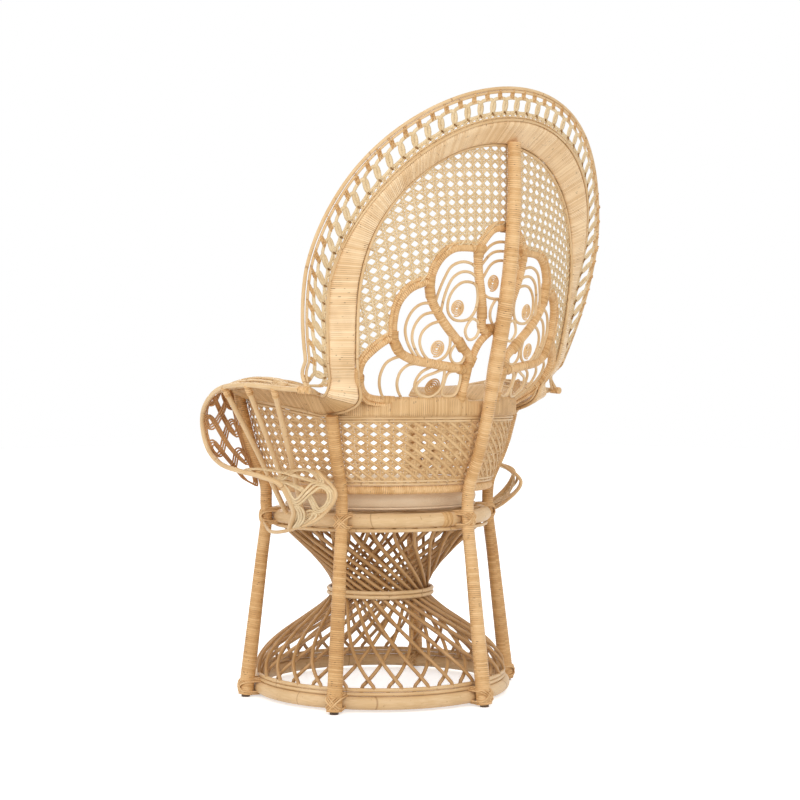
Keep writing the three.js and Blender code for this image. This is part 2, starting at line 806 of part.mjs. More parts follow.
function wallTopTrim() {
  const curve = new ShapedCurve((share) => {
    const degrees = lerp(-wallReach, wallReach, share);
    const top = wallTop(degrees);
    return polar(top.radius, degrees, top.height);
  });
  return rod(curve, trimRadius, 4, wallColumns);
}

const knotHoleShares = [[0.5, 0.22], [0.84, 0.5], [0.5, 0.78], [0.16, 0.5]];
const diamondShares = [[0.5, 0.14], [0.84, 0.5], [0.5, 0.86], [0.16, 0.5]];

function wallCane() {
  const seatOnTrim = trimRadius + clearance;
  const seatUnderTrim = trimRadius + 5 * clearance;
  const map = (along, across) => {
    const degrees = lerp(-wallReach, wallReach, along);
    const top = wallTop(degrees).height - seatUnderTrim;
    const z = lerp(lowerTrimHeight + seatOnTrim, top, across);
    return polar(wallRadius(degrees, z), degrees, z);
  };
  return openwork(map, wallColumns, wallRows, diamondShares, wallThickness);
}

const railSectionShares = [[-1, -0.6], [0, -1], [1, -0.6], [1, 0.6], [0, 1], [-1, 0.6]];

function backRail(grow) {
  const reach = rearPostAngle;
  const steps = 16;
  const rings = [];
  for (let i = 0; i <= steps; i += 1) {
    const degrees = lerp(-reach, reach, i / steps);
    const corners = railSectionShares.map(([out, up]) => {
      const z = railMiddle + up * (railHeight / 2 + grow);
      return polar(railRadius + out * (railThickness / 2 + grow), degrees, z);
    });
    rings.push(corners);
  }
  return loft(rings, false);
}

// A thin reed with a ring of corners at each of its points, one of them towards each side
function reed(points, radius) {
  const rings = points.map((point, i) => {
    const before = points[Math.max(i - 1, 0)];
    const after = points[Math.min(i + 1, points.length - 1)];
    const along = after.clone().sub(before).normalize();
    return poleSection(point, along, new THREE.Vector3(0, 1, 0), radius, 4);
  });
  return loft(rings, false);
}

// The fan's rim: two rods side by side, which end on the rims of the arms
const rimInsets = { outer: rimRodRadius, inner: 3 * rimRodRadius + clearance };
const rimEndAngle = -THREE.MathUtils.radToDeg(
  Math.asin((rimCentre - armRimHeight - armRimRadius - 2 * clearance) / rimBelow),
);

// The angle of a station round the fan, for a share of the way from its left end to its right end
function stationAngle(along) {
  const place = along * (fanAngles.length - 1);
  const index = Math.min(Math.floor(place), fanAngles.length - 2);
  return lerp(fanAngles[index], fanAngles[index + 1], place - index);
}

function fanRim(inset) {
  const points = [rimPoint(rimEndAngle, inset)];
  for (let i = 1; i < borderLoops; i += 1) {
    points.push(rimPoint(stationAngle(i / borderLoops), inset));
  }
  points.push(rimPoint(180 - rimEndAngle, inset));
  return reed(points, rimRodRadius);
}

// The border between the fan's band and its rim, with one opening for each loop of the chain
const borderHoleShares = [[0.17, 0.16], [0.83, 0.16], [0.83, 0.84], [0.17, 0.84]];

function fanBorder() {
  const firstSpan = armAngles.length + 1;
  const lastSpan = bandSpans - firstSpan;
  const bandGap = (clearance * 3) / fanBandWidth;
  const map = (along, across) => {
    const inner = outerEdge.getPoint(lerp(firstSpan, lastSpan, along) / bandSpans);
    const outer = rimPoint(stationAngle(along), rimInsets.inner + rimRodRadius + clearance);
    return inner.lerp(outer, lerp(bandGap, 1, across));
  };
  return openwork(map, borderLoops, 1, borderHoleShares, borderThickness);
}

// The scroll motif: wrapped rods in the fan, outlined by lobes, on two trunks that branch
const motifForward = motifRodRadius - fanPanelThickness / 2;
const openingRise = fanOpeningTop - railTop;

// A point of the motif, in shares of the fan's opening: of its half width, and of its height above the rail
const motifPoint = ([x, z]) => fanPoint(fanBandInner * x, railTop + openingRise * z, -motifForward);

// Outlines of the left half
const topLobeShares = [[-0.2153, 0.5862], [-0.0996, 0.6607], [0, 0.6713], [0.0996, 0.6607], [0.2153, 0.5862]];
const upperTipShares = [0.5524, 0.4547];
const lowerTipShares = [0.7422, 0.245];
const lobeShares = {
  upper: [[0.2153, 0.5862], [0.397, 0.5791], [0.4763, 0.5505], [0.5269, 0.5061], upperTipShares],
  middle: [upperTipShares, [0.6795, 0.4193], [0.7422, 0.3642], [0.7535, 0.2965], lowerTipShares],
  lower: [
    lowerTipShares,
    [0.8437, 0.1989],
    [0.9069, 0.1475],
    [0.9123, 0.1118],
    [0.8921, 0.0674],
    [0.8215, 0.0303],
    [0.6096, 0.0196],
  ],
};
const branchShares = {
  trunk: [[0.1669, -0.009], [0.1669, 0.0781], [0.1756, 0.1686], [0.2543, 0.2133]],
  branch: [[0.2543, 0.2133], [0.4387, 0.3125], [0.5382, 0.396], upperTipShares],
  shoulder: [[0, 0.2807], [0.0963, 0.2771], [0.1332, 0.3729], [0.204, 0.5134], [0.2153, 0.5862]],
  arch: [[0.1669, 0.1145], [0.1076, 0.2237], [0, 0.2807]],
  side: [[0.1756, 0.1208], [0.4535, 0.1422], [0.609, 0.1599], [0.7078, 0.1953], lowerTipShares],
};

const motifSides = 4;

// The frame's rods, joined. They are thicker by a clearance where a neighbour is cut to fit them.
function motifFrame(radius) {
  const rods = [rod(smoothCurve(topLobeShares.map(motifPoint)), radius, motifSides, 8)];
  for (const shares of [...Object.values(lobeShares), ...Object.values(branchShares)]) {
    const half = rod(smoothCurve(shares.map(motifPoint)), radius, motifSides, Math.max(shares.length, 4));
    rods.push(half, mirrored(half));
  }
  return joined(rods);
}

// A sheet of cane over the whole fan, in front of the middle pole. Cut along the band, the rail
// and the motif, its largest part is what fills the fan between them.
const caneForward = fanPanelThickness / 2;

function fanCane() {
  const low = railMiddle;
  const high = fanOpeningTop + fanBandWidth / 2;
  const drop = fanBandWidth;
  const halfWidth = fanBandInner + fanBandWidth / 2;
  const map = (along, across) => {
    const side = lerp(-1, 1, along);
    const z = lerp(low, high, across) + drop * across * (0.5 - side * side);
    return fanPoint(halfWidth * side, z, -caneForward);
  };
  return openwork(map, 9, 7, diamondShares, fanPanelThickness);
}

// What lies outside the band's inner edge, from well in front of the fan to well behind it
function outsideBand() {
  const middle = new THREE.Vector3(0, 0, fanBandCentre);
  const front = new THREE.Vector3(0, -bandFlareDepth, 0);
  const rings = [];
  for (let i = 0; i <= fanBandSteps; i += 1) {
    const share = lerp(bandCornerShare, 1 - bandCornerShare, i / fanBandSteps);
    const edge = innerEdge.getPoint(share);
    const outward = edge.clone().sub(middle).setY(0).normalize();
    const near = edge.clone().addScaledVector(outward, bandThickness / 2);
    const far = edge.clone().addScaledVector(outward, 3 * fanBandWidth);
    rings.push([
      near.clone().add(front),
      far.clone().add(front),
      far.clone().sub(front),
      near.clone().sub(front),
    ]);
  }
  return loft(rings, false);
}

// A scroll is one reed: it rises from a branch, runs round in two wide turns that share a root,
// and ends in a flat coil. Its turns lie side by side.
const scrollSteps = 8; // of one turn
const coilPitch = 2 * scrollRodRadius + 2.5 * clearance;
const coilShare = 0.032; // of the height of the fan's opening
const coilRadius = openingRise * coilShare;
const scrollShares = {
  top: { root: [0, 0.4156], stem: [0.0404, 0.2807], heading: 90, turns: [3.2, 2.2, 1] },
  upper: { root: [0.3203, 0.3341], stem: [0.3364, 0.2649], heading: 78, turns: [2.9, 2, 1] },
  middle: { root: [0.3687, 0.2213], stem: [0.3162, 0.1946], heading: 24, turns: [2.4, 1.7, 1] },
  lower: { root: [0.3687, 0.0623], stem: [0.3229, 0.14], heading: 4, turns: [1.7, 1.25, 0.8] },
};

function scrollPoints({ root, stem, heading, turns }) {
  const rootPoint = new THREE.Vector2(fanBandInner * root[0], railTop + openingRise * root[1]);
  const onwards = new THREE.Vector2(Math.cos(radians(heading)), Math.sin(radians(heading)));
  const sizes = turns.map((share) => coilRadius * share);
  const wideTurns = turns.length - 1;
  const coilTurns = (sizes[wideTurns] - scrollRodRadius) / coilPitch;
  const points = [motifPoint(stem)];
  const count = Math.floor((wideTurns + coilTurns) * scrollSteps);
  for (let i = 0; i <= count; i += 1) {
    const turn = i / scrollSteps;
    const index = Math.min(Math.floor(turn), wideTurns - 1);
    const wide = lerp(sizes[index], sizes[index + 1], clamp(turn - index, 0, 1));
    const size = wide - coilPitch * Math.max(turn - wideTurns, 0);
    const middle = wide + coilPitch * Math.min(turn, wideTurns);
    const angle = radians(heading + fullTurn * (turn + 0.5));
    const spot = rootPoint.clone().addScaledVector(onwards, middle);
    spot.x += Math.cos(angle) * size;
    spot.y += Math.sin(angle) * size;
    points.push(fanPoint(spot.x, spot.y, -motifForward));
  }
  return points;
}

// The least gap that a coiled reed keeps to itself, from each point to the turns beside it
function leastGap(points, radius) {
  let least = Infinity;
  const nearest = new THREE.Vector3();
  for (let i = 0; i < points.length; i += 1) {
    for (let j = i + scrollSteps / 2; j < points.length - 1; j += 1) {
      new THREE.Line3(points[j], points[j + 1]).closestPointToPoint(points[i], true, nearest);
      least = Math.min(least, nearest.distanceTo(points[i]) - 2 * radius);
    }
  }
  return least;
}

// The arms: a rim that swings out, round the front and back under, ribs, and knotwork panels
// Each point is a share of the rim's reach, an angle, and a share of its height above the seat
const armRimShares = [
  [1, 64, 1],
  [0.953, 76, 0.9609],
  [0.942, 86, 0.9414],
  [0.921, 101, 0.8992],
  [0.91, 115, 0.7599],
  [0.9, 121, 0.6255],
  [0.878, 121, 0.4695],
  [0.857, 110, 0.3549],
  [0.857, 97, 0.3127],
  [0.857, 86, 0.2798],
  [0.856, 78, 0.227],
  [0.814, 77, 0.131],
  [0.749, 78, 0.0325],
  [0.675, 85, -0.1043],
];
const lowerRimShares = [
  [0.832, 76, 1],
  [0.93, 68, 0.814],
  [1, 61, 0.468],
  [0.927, 68.5, -0.019],
  [0.88, 85, -0.33],
  [0.845, 100, -0.42],
  [0.79, 117, -0.28],
];

function rimCurve(shares, farthest, highest) {
  const points = shares.map(([reach, degrees, height]) =>
    polar(farthest * reach, degrees, lerp(seatTop, highest, height)),
  );
  return smoothCurve(points);
}

const armRimCurve = rimCurve(armRimShares, armRimReach, armRimHeight);
const lowerRimCurve = rimCurve(lowerRimShares, lowerRimReach, seatTop + lowerRimLift);

const armRim = (radius) => rod(armRimCurve, radius, 4, 20);
const lowerRim = (radius) => rod(lowerRimCurve, radius, 4, 12);

function armPost(grow = 0) {
  const top = armBandFront + fitOverrun;
  const bottom = frontLegTop + clearance;
  const heightShares = [0, 0.17, 0.4, 0.6, 0.8, 1];
  const points = heightShares.map((share) => {
    const z = lerp(bottom, top, share);
    return polar(postRadius(frontLegAngle, z, legWaistRadius), frontLegAngle, z);
  });
  return standingPole(points, frontLegAngle, () => legWaistRadius + grow, 7, 6);
}

// Each rib runs from the arm's rim down to the seat ring
const ribAngles = [[76.5, 88.7], [86, 95.3], [101, 102.6]];
const ribRimShares = [0.075, 0.13, 0.21];

function armRib(index) {
  const foot = polar(seatRingRadius + seatPoleRadius / 2, ribAngles[index][1], seatTop - seatPoleRadius / 2);
  const head = armRimCurve.getPointAt(ribRimShares[index]);
  const middle = head.clone().lerp(foot, 0.5);
  middle.z += armRibRadius;
  return rod(smoothCurve([head, middle, foot]), armRibRadius, 5, 3);
}

// Knotwork between the arm's band and post, and its rim
const knotBandSpans = [4.2, 3, 2, 1, 0.4]; // of the band's outer edge, from the rear to the front
const knotPostShares = [0.8, 0.55, 0.35, 0.15];
const knotRimShares = [0.02, 0.6]; // where the panel starts and ends along the arm's rim
const rimGap = armRimRadius + clearance;
const lowerRimGap = lowerRimRadius + clearance;

function armKnotPanel(thickness) {
  const inner = smoothCurve([
    ...knotBandSpans.map((span) => outerEdge.getPoint(span / bandSpans)),
    ...knotPostShares.map((share) => {
      const z = lerp(frontLegTop, armBandFront, share);
      return polar(postRadius(frontLegAngle, z, legWaistRadius) + legWaistRadius, frontLegAngle, z);
    }),
  ]);
  const map = (along, across) => {
    const start = inner.getPoint(along);
    const end = armRimCurve.getPointAt(lerp(...knotRimShares, along));
    return between(start, end, knotThickness / 2, rimGap, across);
  };
  return openwork(map, 7, 1, knotHoleShares, thickness);
}

// Knotwork between the tail of the arm's rim and the lower rim
const dishRimShares = [0.74, 0.97];
const dishLowerShares = [0.06, 0.55];

function armDish() {
  const map = (along, across) => {
    const start = armRimCurve.getPointAt(lerp(...dishRimShares, along));
    const end = lowerRimCurve.getPointAt(lerp(...dishLowerShares, along));
    return between(start, end, rimGap, lowerRimGap, across);
  };
  return openwork(map, 3, 1, knotHoleShares, knotThickness);
}

addPiece("base_ring", hoop(baseRingRadius, basePoleRadius, baseRingHeight, 8), materials.pole);
addPiece(
  "base_lacing_rod",
  hoop(baseRingRadius, lacingRadius, baseRingTop + lacingRadius + clearance, 4),
  materials.pole,
);
addPiece("hourglass_outer_strands", outerStrands(), materials.strand);
addPiece("hourglass_inner_strands", innerStrands(), materials.strand);
addPiece(
  "waist_hoop_lower",
  hoop(waistHoopRadius, waistRodRadius, waistHeight - waistRodRadius, 4),
  materials.pole,
);
addPiece(
  "waist_hoop_upper",
  hoop(waistHoopRadius, waistRodRadius, waistHeight + waistRodRadius + clearance, 4),
  materials.pole,
);
addPiece("seat_ring", seatRing(seatPoleRadius), materials.pole);
addPiece("seat_deck", seatDeck(), materials.pole);
addPiece("seat_cushion", cushion(), materials.fabric);

const fatArmBand = armBandSolid(clearance);
const fatFanBand = fanBandSolid(clearance);
const fatFrame = motifFrame(motifRodRadius + clearance);

addPiece("rear_pole", fitted(rearPole(), [fatFanBand]), materials.wrap);
const post = fitted(rearPost(), [fatArmBand, fatFanBand]);
addPiece("rear_post_left", post, materials.wrap);
addPiece("rear_post_right", mirrored(post), materials.wrap);
addPiece("front_leg_left", frontLeg(), materials.wrap);
addPiece("front_leg_right", mirrored(frontLeg()), materials.wrap);
const frontPost = fitted(armPost(), [fatArmBand]);
addPiece("arm_post_left", frontPost, materials.wrap);
addPiece("arm_post_right", mirrored(frontPost), materials.wrap);
addPiece("glide_rear", glide(0), materials.glide);
addPiece("glide_rear_left", glide(rearPostAngle), materials.glide);
addPiece("glide_rear_right", glide(-rearPostAngle), materials.glide);
addPiece("glide_front_left", glide(frontLegAngle), materials.glide);
addPiece("glide_front_right", glide(-frontLegAngle), materials.glide);

addPiece("wall_hoop", wallHoop(), materials.wrap);
addPiece("wall_lower_trim", wallLowerTrim(), materials.pole);
addPiece("wall_top_trim", fitted(wallTopTrim(), [fatArmBand, mirrored(fatArmBand)]), materials.pole);
addPiece("wall_cane", wallCane(), materials.cane);
const armBands = [fatArmBand, mirrored(fatArmBand), fatFanBand];
addPiece("back_rail", fitted(backRail(0), armBands), materials.wrap);
addPiece("fan_band", fanBandSolid(0), materials.wrap);
addPiece("arm_band_left", armBandSolid(0), materials.wrap);
addPiece("arm_band_right", mirrored(armBandSolid(0)), materials.wrap);
addPiece("fan_rim_outer", fanRim(rimInsets.outer), materials.pole);
addPiece("fan_rim_inner", fanRim(rimInsets.inner), materials.pole);
addPiece("fan_border", fanBorder(), materials.cane);
const aroundMotif = [fatFanBand, backRail(clearance)];
addPiece("motif_frame", fitted(motifFrame(motifRodRadius), aroundMotif), materials.wrap);
const fatScrolls = Object.values(scrollShares).flatMap((shares) => {
  const fat = reed(scrollPoints(shares), scrollRodRadius + clearance);
  return [fat, mirrored(fat)];
});
const aroundCane = [...aroundMotif, fatFrame, outsideBand(), ...fatScrolls];
addPiece("fan_cane", fitted(fanCane(), aroundCane), materials.cane);
const upperRim = fitted(armRim(armRimRadius), [lowerRim(lowerRimRadius + clearance)]);
const aroundScroll = [fatFrame, backRail(clearance)];
for (const [place, shares] of Object.entries(scrollShares)) {
  const points = scrollPoints(shares);
  console.log(place + " scroll, least gap to itself in mm:", leastGap(points, scrollRodRadius).toFixed(2));
  const piece = fitted(reed(points, scrollRodRadius), aroundScroll);
  if (place === "top") {
    addPiece("motif_scroll_top", piece, materials.cane);
  } else {
    addPiece("motif_scroll_left_" + place, piece, materials.cane);
    addPiece("motif_scroll_right_" + place, mirrored(piece), materials.cane);
  }
}
addPiece("arm_rim_left", upperRim, materials.pole);
addPiece("arm_rim_right", mirrored(upperRim), materials.pole);
const underRim = fitted(lowerRim(lowerRimRadius), [frontLeg(clearance), rearPost(clearance)]);
addPiece("arm_lower_rim_left", underRim, materials.pole);
addPiece("arm_lower_rim_right", mirrored(underRim), materials.pole);
const ribNames = ["rear", "middle", "front"];
ribNames.forEach((place, index) => {
  const rib = fitted(armRib(index), [
    armRim(armRimRadius + clearance),
    seatRing(seatPoleRadius + clearance),
    armKnotPanel(knotThickness + 2 * clearance),
  ]);
  addPiece("arm_rib_left_" + place, rib, materials.pole);
  addPiece("arm_rib_right_" + place, mirrored(rib), materials.pole);
});
const fatRims = [armRim(armRimRadius + clearance), lowerRim(lowerRimRadius + clearance)];
const knots = fitted(armKnotPanel(knotThickness), [...fatRims, fatArmBand, armPost(clearance)]);
addPiece("arm_knots_left", knots, materials.cane);
addPiece("arm_knots_right", mirrored(knots), materials.cane);
const dish = fitted(armDish(), fatRims);
addPiece("arm_dish_left", dish, materials.cane);
addPiece("arm_dish_right", mirrored(dish), materials.cane);

const chair = new THREE.Group();
for (const piece of pieces) {
  chair.add(piece);
}
const extent = new THREE.Box3().setFromObject(chair);
chair.position.y = -(extent.min.y + extent.max.y) / 2;

export default chair;
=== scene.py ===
import math
import bpy
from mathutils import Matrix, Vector


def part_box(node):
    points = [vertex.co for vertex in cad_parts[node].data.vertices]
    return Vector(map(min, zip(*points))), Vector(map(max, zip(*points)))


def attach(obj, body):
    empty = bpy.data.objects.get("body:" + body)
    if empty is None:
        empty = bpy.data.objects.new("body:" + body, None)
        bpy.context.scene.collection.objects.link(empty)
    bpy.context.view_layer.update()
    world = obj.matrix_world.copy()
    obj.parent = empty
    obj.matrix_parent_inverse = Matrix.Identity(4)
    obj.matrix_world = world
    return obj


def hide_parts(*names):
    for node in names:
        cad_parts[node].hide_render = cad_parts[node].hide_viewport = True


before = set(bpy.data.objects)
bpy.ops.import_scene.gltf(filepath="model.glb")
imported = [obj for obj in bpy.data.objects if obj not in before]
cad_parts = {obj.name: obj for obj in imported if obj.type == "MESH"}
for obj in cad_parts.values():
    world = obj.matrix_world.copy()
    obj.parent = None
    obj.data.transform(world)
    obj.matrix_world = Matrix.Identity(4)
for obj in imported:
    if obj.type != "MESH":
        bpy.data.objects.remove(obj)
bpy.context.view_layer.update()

# Lengths are worked out in millimetres round the axis of the base ring, with Z up and the sitter
# facing -Y, and become metres in the frame's place when a mesh is made.
mm = 0.001
ringLow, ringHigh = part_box("base_ring")
axisY = (ringLow.y + ringHigh.y) / 2

chair = {
    "baseRingRadius": 290, "basePoleRadius": 14.5, "baseRingHeight": 20,
    "seatRingRadius": 245, "seatPoleRadius": 16, "seatTop": 430,
    "waistHeight": 234, "waistHoopRadius": 121.5,
    "hoopRadius": 254, "hoopPoleRadius": 9.5, "hoopHeight": 483, "railRadius": 309, "railBottom": 645,
    "railTop": 680, "rearPostAngle": 63.5, "frontLegAngle": 118, "clearance": 0.3,
    "fanHeight": 1366, "fanHalfWidth": 475, "fanBandInner": 353, "fanBandWidth": 50, "fanOpeningTop": 1243,
}
# Heights above the rail in shares of the fan's rise: where the rim and the band are widest, the half
# height of the rim's oval below that, and where the fan stops leaning back
fanShares = {"rimCentre": 0.394, "rimBelow": 0.831, "bandCentre": 0.3645, "leanTop": 0.7}
seatRingHeight = chair["seatTop"] - chair["seatPoleRadius"]
railMiddle = (chair["railBottom"] + chair["railTop"]) / 2
fanRise = chair["fanHeight"] - chair["railTop"]
rimCentre = chair["railTop"] + fanShares["rimCentre"] * fanRise
rimBelow = fanShares["rimBelow"] * fanRise
bandCentre = chair["railTop"] + fanShares["bandCentre"] * fanRise
leanTop = chair["railTop"] + fanShares["leanTop"] * fanRise
openingRise = chair["fanOpeningTop"] - chair["railTop"]


def lerp(start, end, share):
    return start + (end - start) * share


def clamp(value, low=0.0, high=1.0):
    return max(low, min(high, value))


def easeOut(share):
    return math.sin(math.pi / 2 * clamp(share))


def polar(radius, degrees, height):  # degrees from the middle of the back, towards the sitter's left
    turn = math.radians(degrees)
    return Vector((radius * math.sin(turn), radius * math.cos(turn), height))


def place(point):
    return Vector((point.x * mm, point.y * mm + axisY, point.z * mm))


def flipped(points):
    return [Vector((-point.x, point.y, point.z)) for point in points]


def chance(*seeds):  # the same number from 0 to 1 for the same seeds
    total = sum(seed * factor for seed, factor in zip(seeds, (12.9898, 78.233, 37.719)))
    return (math.sin(total) * 43758.5453) % 1


def smoothPath(points, step, closed=False):  # a centripetal curve through the points, cut into even steps
    count = len(points)
    spans = count if closed else count - 1
    dense = []
    for i in range(spans):
        p1, p2 = points[i], points[(i + 1) % count]
        p0 = points[i - 1] if closed or i > 0 else p1 * 2 - p2
        p3 = points[(i + 2) % count] if closed or i + 2 < count else p2 * 2 - p1
        t0 = 0.0
        t1 = t0 + max((p1 - p0).length, 1e-6) ** 0.5
        t2 = t1 + max((p2 - p1).length, 1e-6) ** 0.5
        t3 = t2 + max((p3 - p2).length, 1e-6) ** 0.5
        for k in range(16):
            t = lerp(t1, t2, k / 16)
            a1 = p0.lerp(p1, (t - t0) / (t1 - t0))
            a2 = p1.lerp(p2, (t - t1) / (t2 - t1))
            a3 = p2.lerp(p3, (t - t2) / (t3 - t2))
            b1 = a1.lerp(a2, (t - t0) / (t2 - t0))
            b2 = a2.lerp(a3, (t - t1) / (t3 - t1))
            dense.append(b1.lerp(b2, (t - t1) / (t2 - t1)))
    dense.append(points[0].copy() if closed else points[-1].copy())
    return evenPath(dense, step, closed)


def pathLengths(points):
    lengths = [0.0]
    for before, after in zip(points, points[1:]):
        lengths.append(lengths[-1] + (after - before).length)
    return lengths


def stepAt(lengths, distance):  # the step of a path that a distance falls in, and the share of that step
    low, high = 0, len(lengths) - 1
    while high - low > 1:
        middle = (low + high) // 2
        if lengths[middle] <= distance:
            low = middle
        else:
            high = middle
    return low, clamp((distance - lengths[low]) / max(lengths[high] - lengths[low], 1e-9))


def pathAt(points, lengths, distance):
    step, share = stepAt(lengths, distance)
    return points[step].lerp(points[step + 1], share)


def evenPath(points, step, closed):
    lengths = pathLengths(points)
    count = max(2, round(lengths[-1] / step))
    even = [pathAt(points, lengths, lengths[-1] * i / count) for i in range(count + 1)]
    return even[:-1] if closed else even


def linked(name, data):
    made = bpy.data.objects.new(name, data)
    bpy.context.collection.objects.link(made)
    return made


def addNode(tree, kind, inputs=None, **settings):
    made = tree.nodes.new(kind)
    for key, value in settings.items():
        setattr(made, key, value)
    for key, value in (inputs or {}).items():
        if isinstance(value, bpy.types.NodeSocket):
            tree.links.new(value, made.inputs[key])
        else:
            made.inputs[key].default_value = value
    return made


def maths(tree, operation, first, second=0.0):
    return addNode(tree, "ShaderNodeMath", {0: first, 1: second}, operation=operation).outputs[0]


def newTree(name, inputs):
    tree = bpy.data.node_groups.new(name, "GeometryNodeTree")
    tree.interface.new_socket("Geometry", in_out="INPUT", socket_type="NodeSocketGeometry")
    tree.interface.new_socket("Geometry", in_out="OUTPUT", socket_type="NodeSocketGeometry")
    for label, kind, value in inputs:
        socket = tree.interface.new_socket(label, in_out="INPUT", socket_type="NodeSocket" + kind)
        if value is not None:
            socket.default_value = value
    return tree, tree.nodes.new("NodeGroupInput").outputs, tree.nodes.new("NodeGroupOutput")


def attribute(tree, name, dataType="FLOAT"):
    return addNode(tree, "GeometryNodeInputNamedAttribute", {"Name": name}, data_type=dataType).outputs[0]


def stored(tree, geometry, name, value, dataType="FLOAT", domain="POINT"):
    made = addNode(tree, "GeometryNodeStoreNamedAttribute",
                   {"Geometry": geometry, "Name": name, "Value": value}, data_type=dataType, domain=domain)
    return made.outputs[0]


def smoothed(tree, geometry):
    made = addNode(tree, "GeometryNodeSetShadeSmooth", {"Geometry": geometry, "Shade Smooth": True})
    return made.outputs[0]


def finishTree(tree, geometry, given, end):
    real = addNode(tree, "GeometryNodeRealizeInstances", {"Geometry": geometry})
    coated = addNode(tree, "GeometryNodeSetMaterial",
                     {"Geometry": real.outputs[0], "Material": given["Material"]})
    tree.links.new(coated.outputs[0], end.inputs["Geometry"])


def plus(tree, first, second):
    return maths(tree, "ADD", first, second)


def times(tree, first, second):
    return maths(tree, "MULTIPLY", first, second)


# Turns of a wrap counted along a rod, with the slant of its winding
def turnPhase(tree, along, around, width):
    parts = addNode(tree, "ShaderNodeSeparateXYZ", {0: around})
    angle = maths(tree, "ARCTAN2", parts.outputs["Y"], parts.outputs["X"])
    turns = maths(tree, "DIVIDE", along, width)
    return plus(tree, turns, maths(tree, "DIVIDE", angle, 2 * math.pi))


def pathCurve(tree, given):  # the paths as curves, and the distance along them
    curve = addNode(tree, "GeometryNodeMeshToCurve", {"Mesh": given["Geometry"]})
    return curve.outputs[0], addNode(tree, "GeometryNodeSplineParameter").outputs["Length"]


def swept(tree, curve, section):
    made = addNode(tree, "GeometryNodeCurveToMesh",
                   {"Curve": curve, "Profile Curve": section, "Scale": attribute(tree, "rodRadius"),
                    "Fill Caps": True})
    return made.outputs[0]


def sweptRod(tree, given):  # a round rod that keeps how far along and whereabouts round it each point is
    curve, length = pathCurve(tree, given)
    even = addNode(tree, "GeometryNodeResampleCurve", {"Curve": curve, "Length": given["Ring spacing"]},
                   mode="LENGTH")
    circle = addNode(tree, "GeometryNodeCurvePrimitiveCircle", {"Resolution": given["Sides"], "Radius": 1.0})
    position = addNode(tree, "GeometryNodeInputPosition").outputs[0]
    marked = stored(tree, even.outputs[0], "along", length)
    return swept(tree, marked, stored(tree, circle.outputs[0], "around", position, "FLOAT_VECTOR"))


# A tree that sweeps a round rod along each path of a mesh of edges, and raises the turns of a wrap on it
def rodTree():
    tree, given, end = newTree("wrappedRod", [
        ("Ring spacing", "Float", 0.004), ("Sides", "Int", 8), ("Turn width", "Float", 0.0045),
        ("Turn height", "Float", 0.0), ("Material", "Material", None)])
    rod = sweptRod(tree, given)
    phase = turnPhase(tree, attribute(tree, "along"), attribute(tree, "around", "FLOAT_VECTOR"),
                      given["Turn width"])
    ridge = maths(tree, "ABSOLUTE", maths(tree, "SINE", times(tree, phase, math.pi)))
    height = times(tree, maths(tree, "SUBTRACT", ridge, 0.7), given["Turn height"])
    normal = addNode(tree, "GeometryNodeInputNormal").outputs[0]
    offset = addNode(tree, "ShaderNodeVectorMath", {0: normal, "Scale": height}, operation="SCALE")
    raised = addNode(tree, "GeometryNodeSetPosition", {"Geometry": rod, "Offset": offset.outputs["Vector"]})
    finishTree(tree, smoothed(tree, raised.outputs[0]), given, end)
    return tree


# A tree that lays a flat strip along each path, square to the normals stored on its points
def stripTree():
    tree, given, end = newTree("flatStrip", [
        ("Strip width", "Float", 0.003), ("Strip thickness", "Float", 0.0007),
        ("Material", "Material", None)])
    curve, length = pathCurve(tree, given)
    faced = addNode(tree, "GeometryNodeSetCurveNormal",
                    {"Curve": stored(tree, curve, "along", length),
                     "Normal": attribute(tree, "outward", "FLOAT_VECTOR")}, mode="FREE")
    section = addNode(tree, "GeometryNodeCurvePrimitiveQuadrilateral",
                      {"Width": given["Strip thickness"], "Height": given["Strip width"]})
    finishTree(tree, swept(tree, faced.outputs[0], section.outputs[0]), given, end)
    return tree


# A tree that sets copies of one bent strand round the axis of the base
def strandTree():
    tree, given, end = newTree("strandLayer", [
        ("Strand count", "Int", 30), ("Ring spacing", "Float", 0.008), ("Sides", "Int", 8),
        ("Axis", "Vector", None), ("Material", "Material", None)])
    strand = smoothed(tree, sweptRod(tree, given))
    points = addNode(tree, "GeometryNodeMeshLine", {"Count": given["Strand count"], "Offset": (0, 0, 0)})
    index = addNode(tree, "GeometryNodeInputIndex").outputs[0]
    step = maths(tree, "DIVIDE", 2 * math.pi, given["Strand count"])
    turn = addNode(tree, "ShaderNodeCombineXYZ", {"Z": times(tree, index, step)})
    copies = addNode(tree, "GeometryNodeInstanceOnPoints",
                     {"Points": points.outputs[0], "Instance": strand, "Rotation": turn.outputs[0]})
    tint = addNode(tree, "FunctionNodeRandomValue", {"Seed": 7, "ID": index}, data_type="FLOAT")
    tinted = stored(tree, copies.outputs[0], "tint", tint.outputs[1], domain="INSTANCE")
    moved = addNode(tree, "GeometryNodeSetPosition", {"Geometry": tinted, "Offset": given["Axis"]})
    finishTree(tree, moved.outputs[0], given, end)
    return tree


def newMaterial(name, roughness):
    material = bpy.data.materials.new(name)
    material.use_nodes = True
    shader = material.node_tree.nodes["Principled BSDF"]
    shader.inputs["Roughness"].default_value = roughness
    return material, material.node_tree, shader


def blend(tree, share, first, second):
    made = addNode(tree, "ShaderNodeMix", data_type="RGBA")
    for socket, value in ((made.inputs[0], share), (made.inputs[6], first), (made.inputs[7], second)):
        if isinstance(value, bpy.types.NodeSocket):
            tree.links.new(value, socket)
        else:
            socket.default_value = value
    return made.outputs[2]


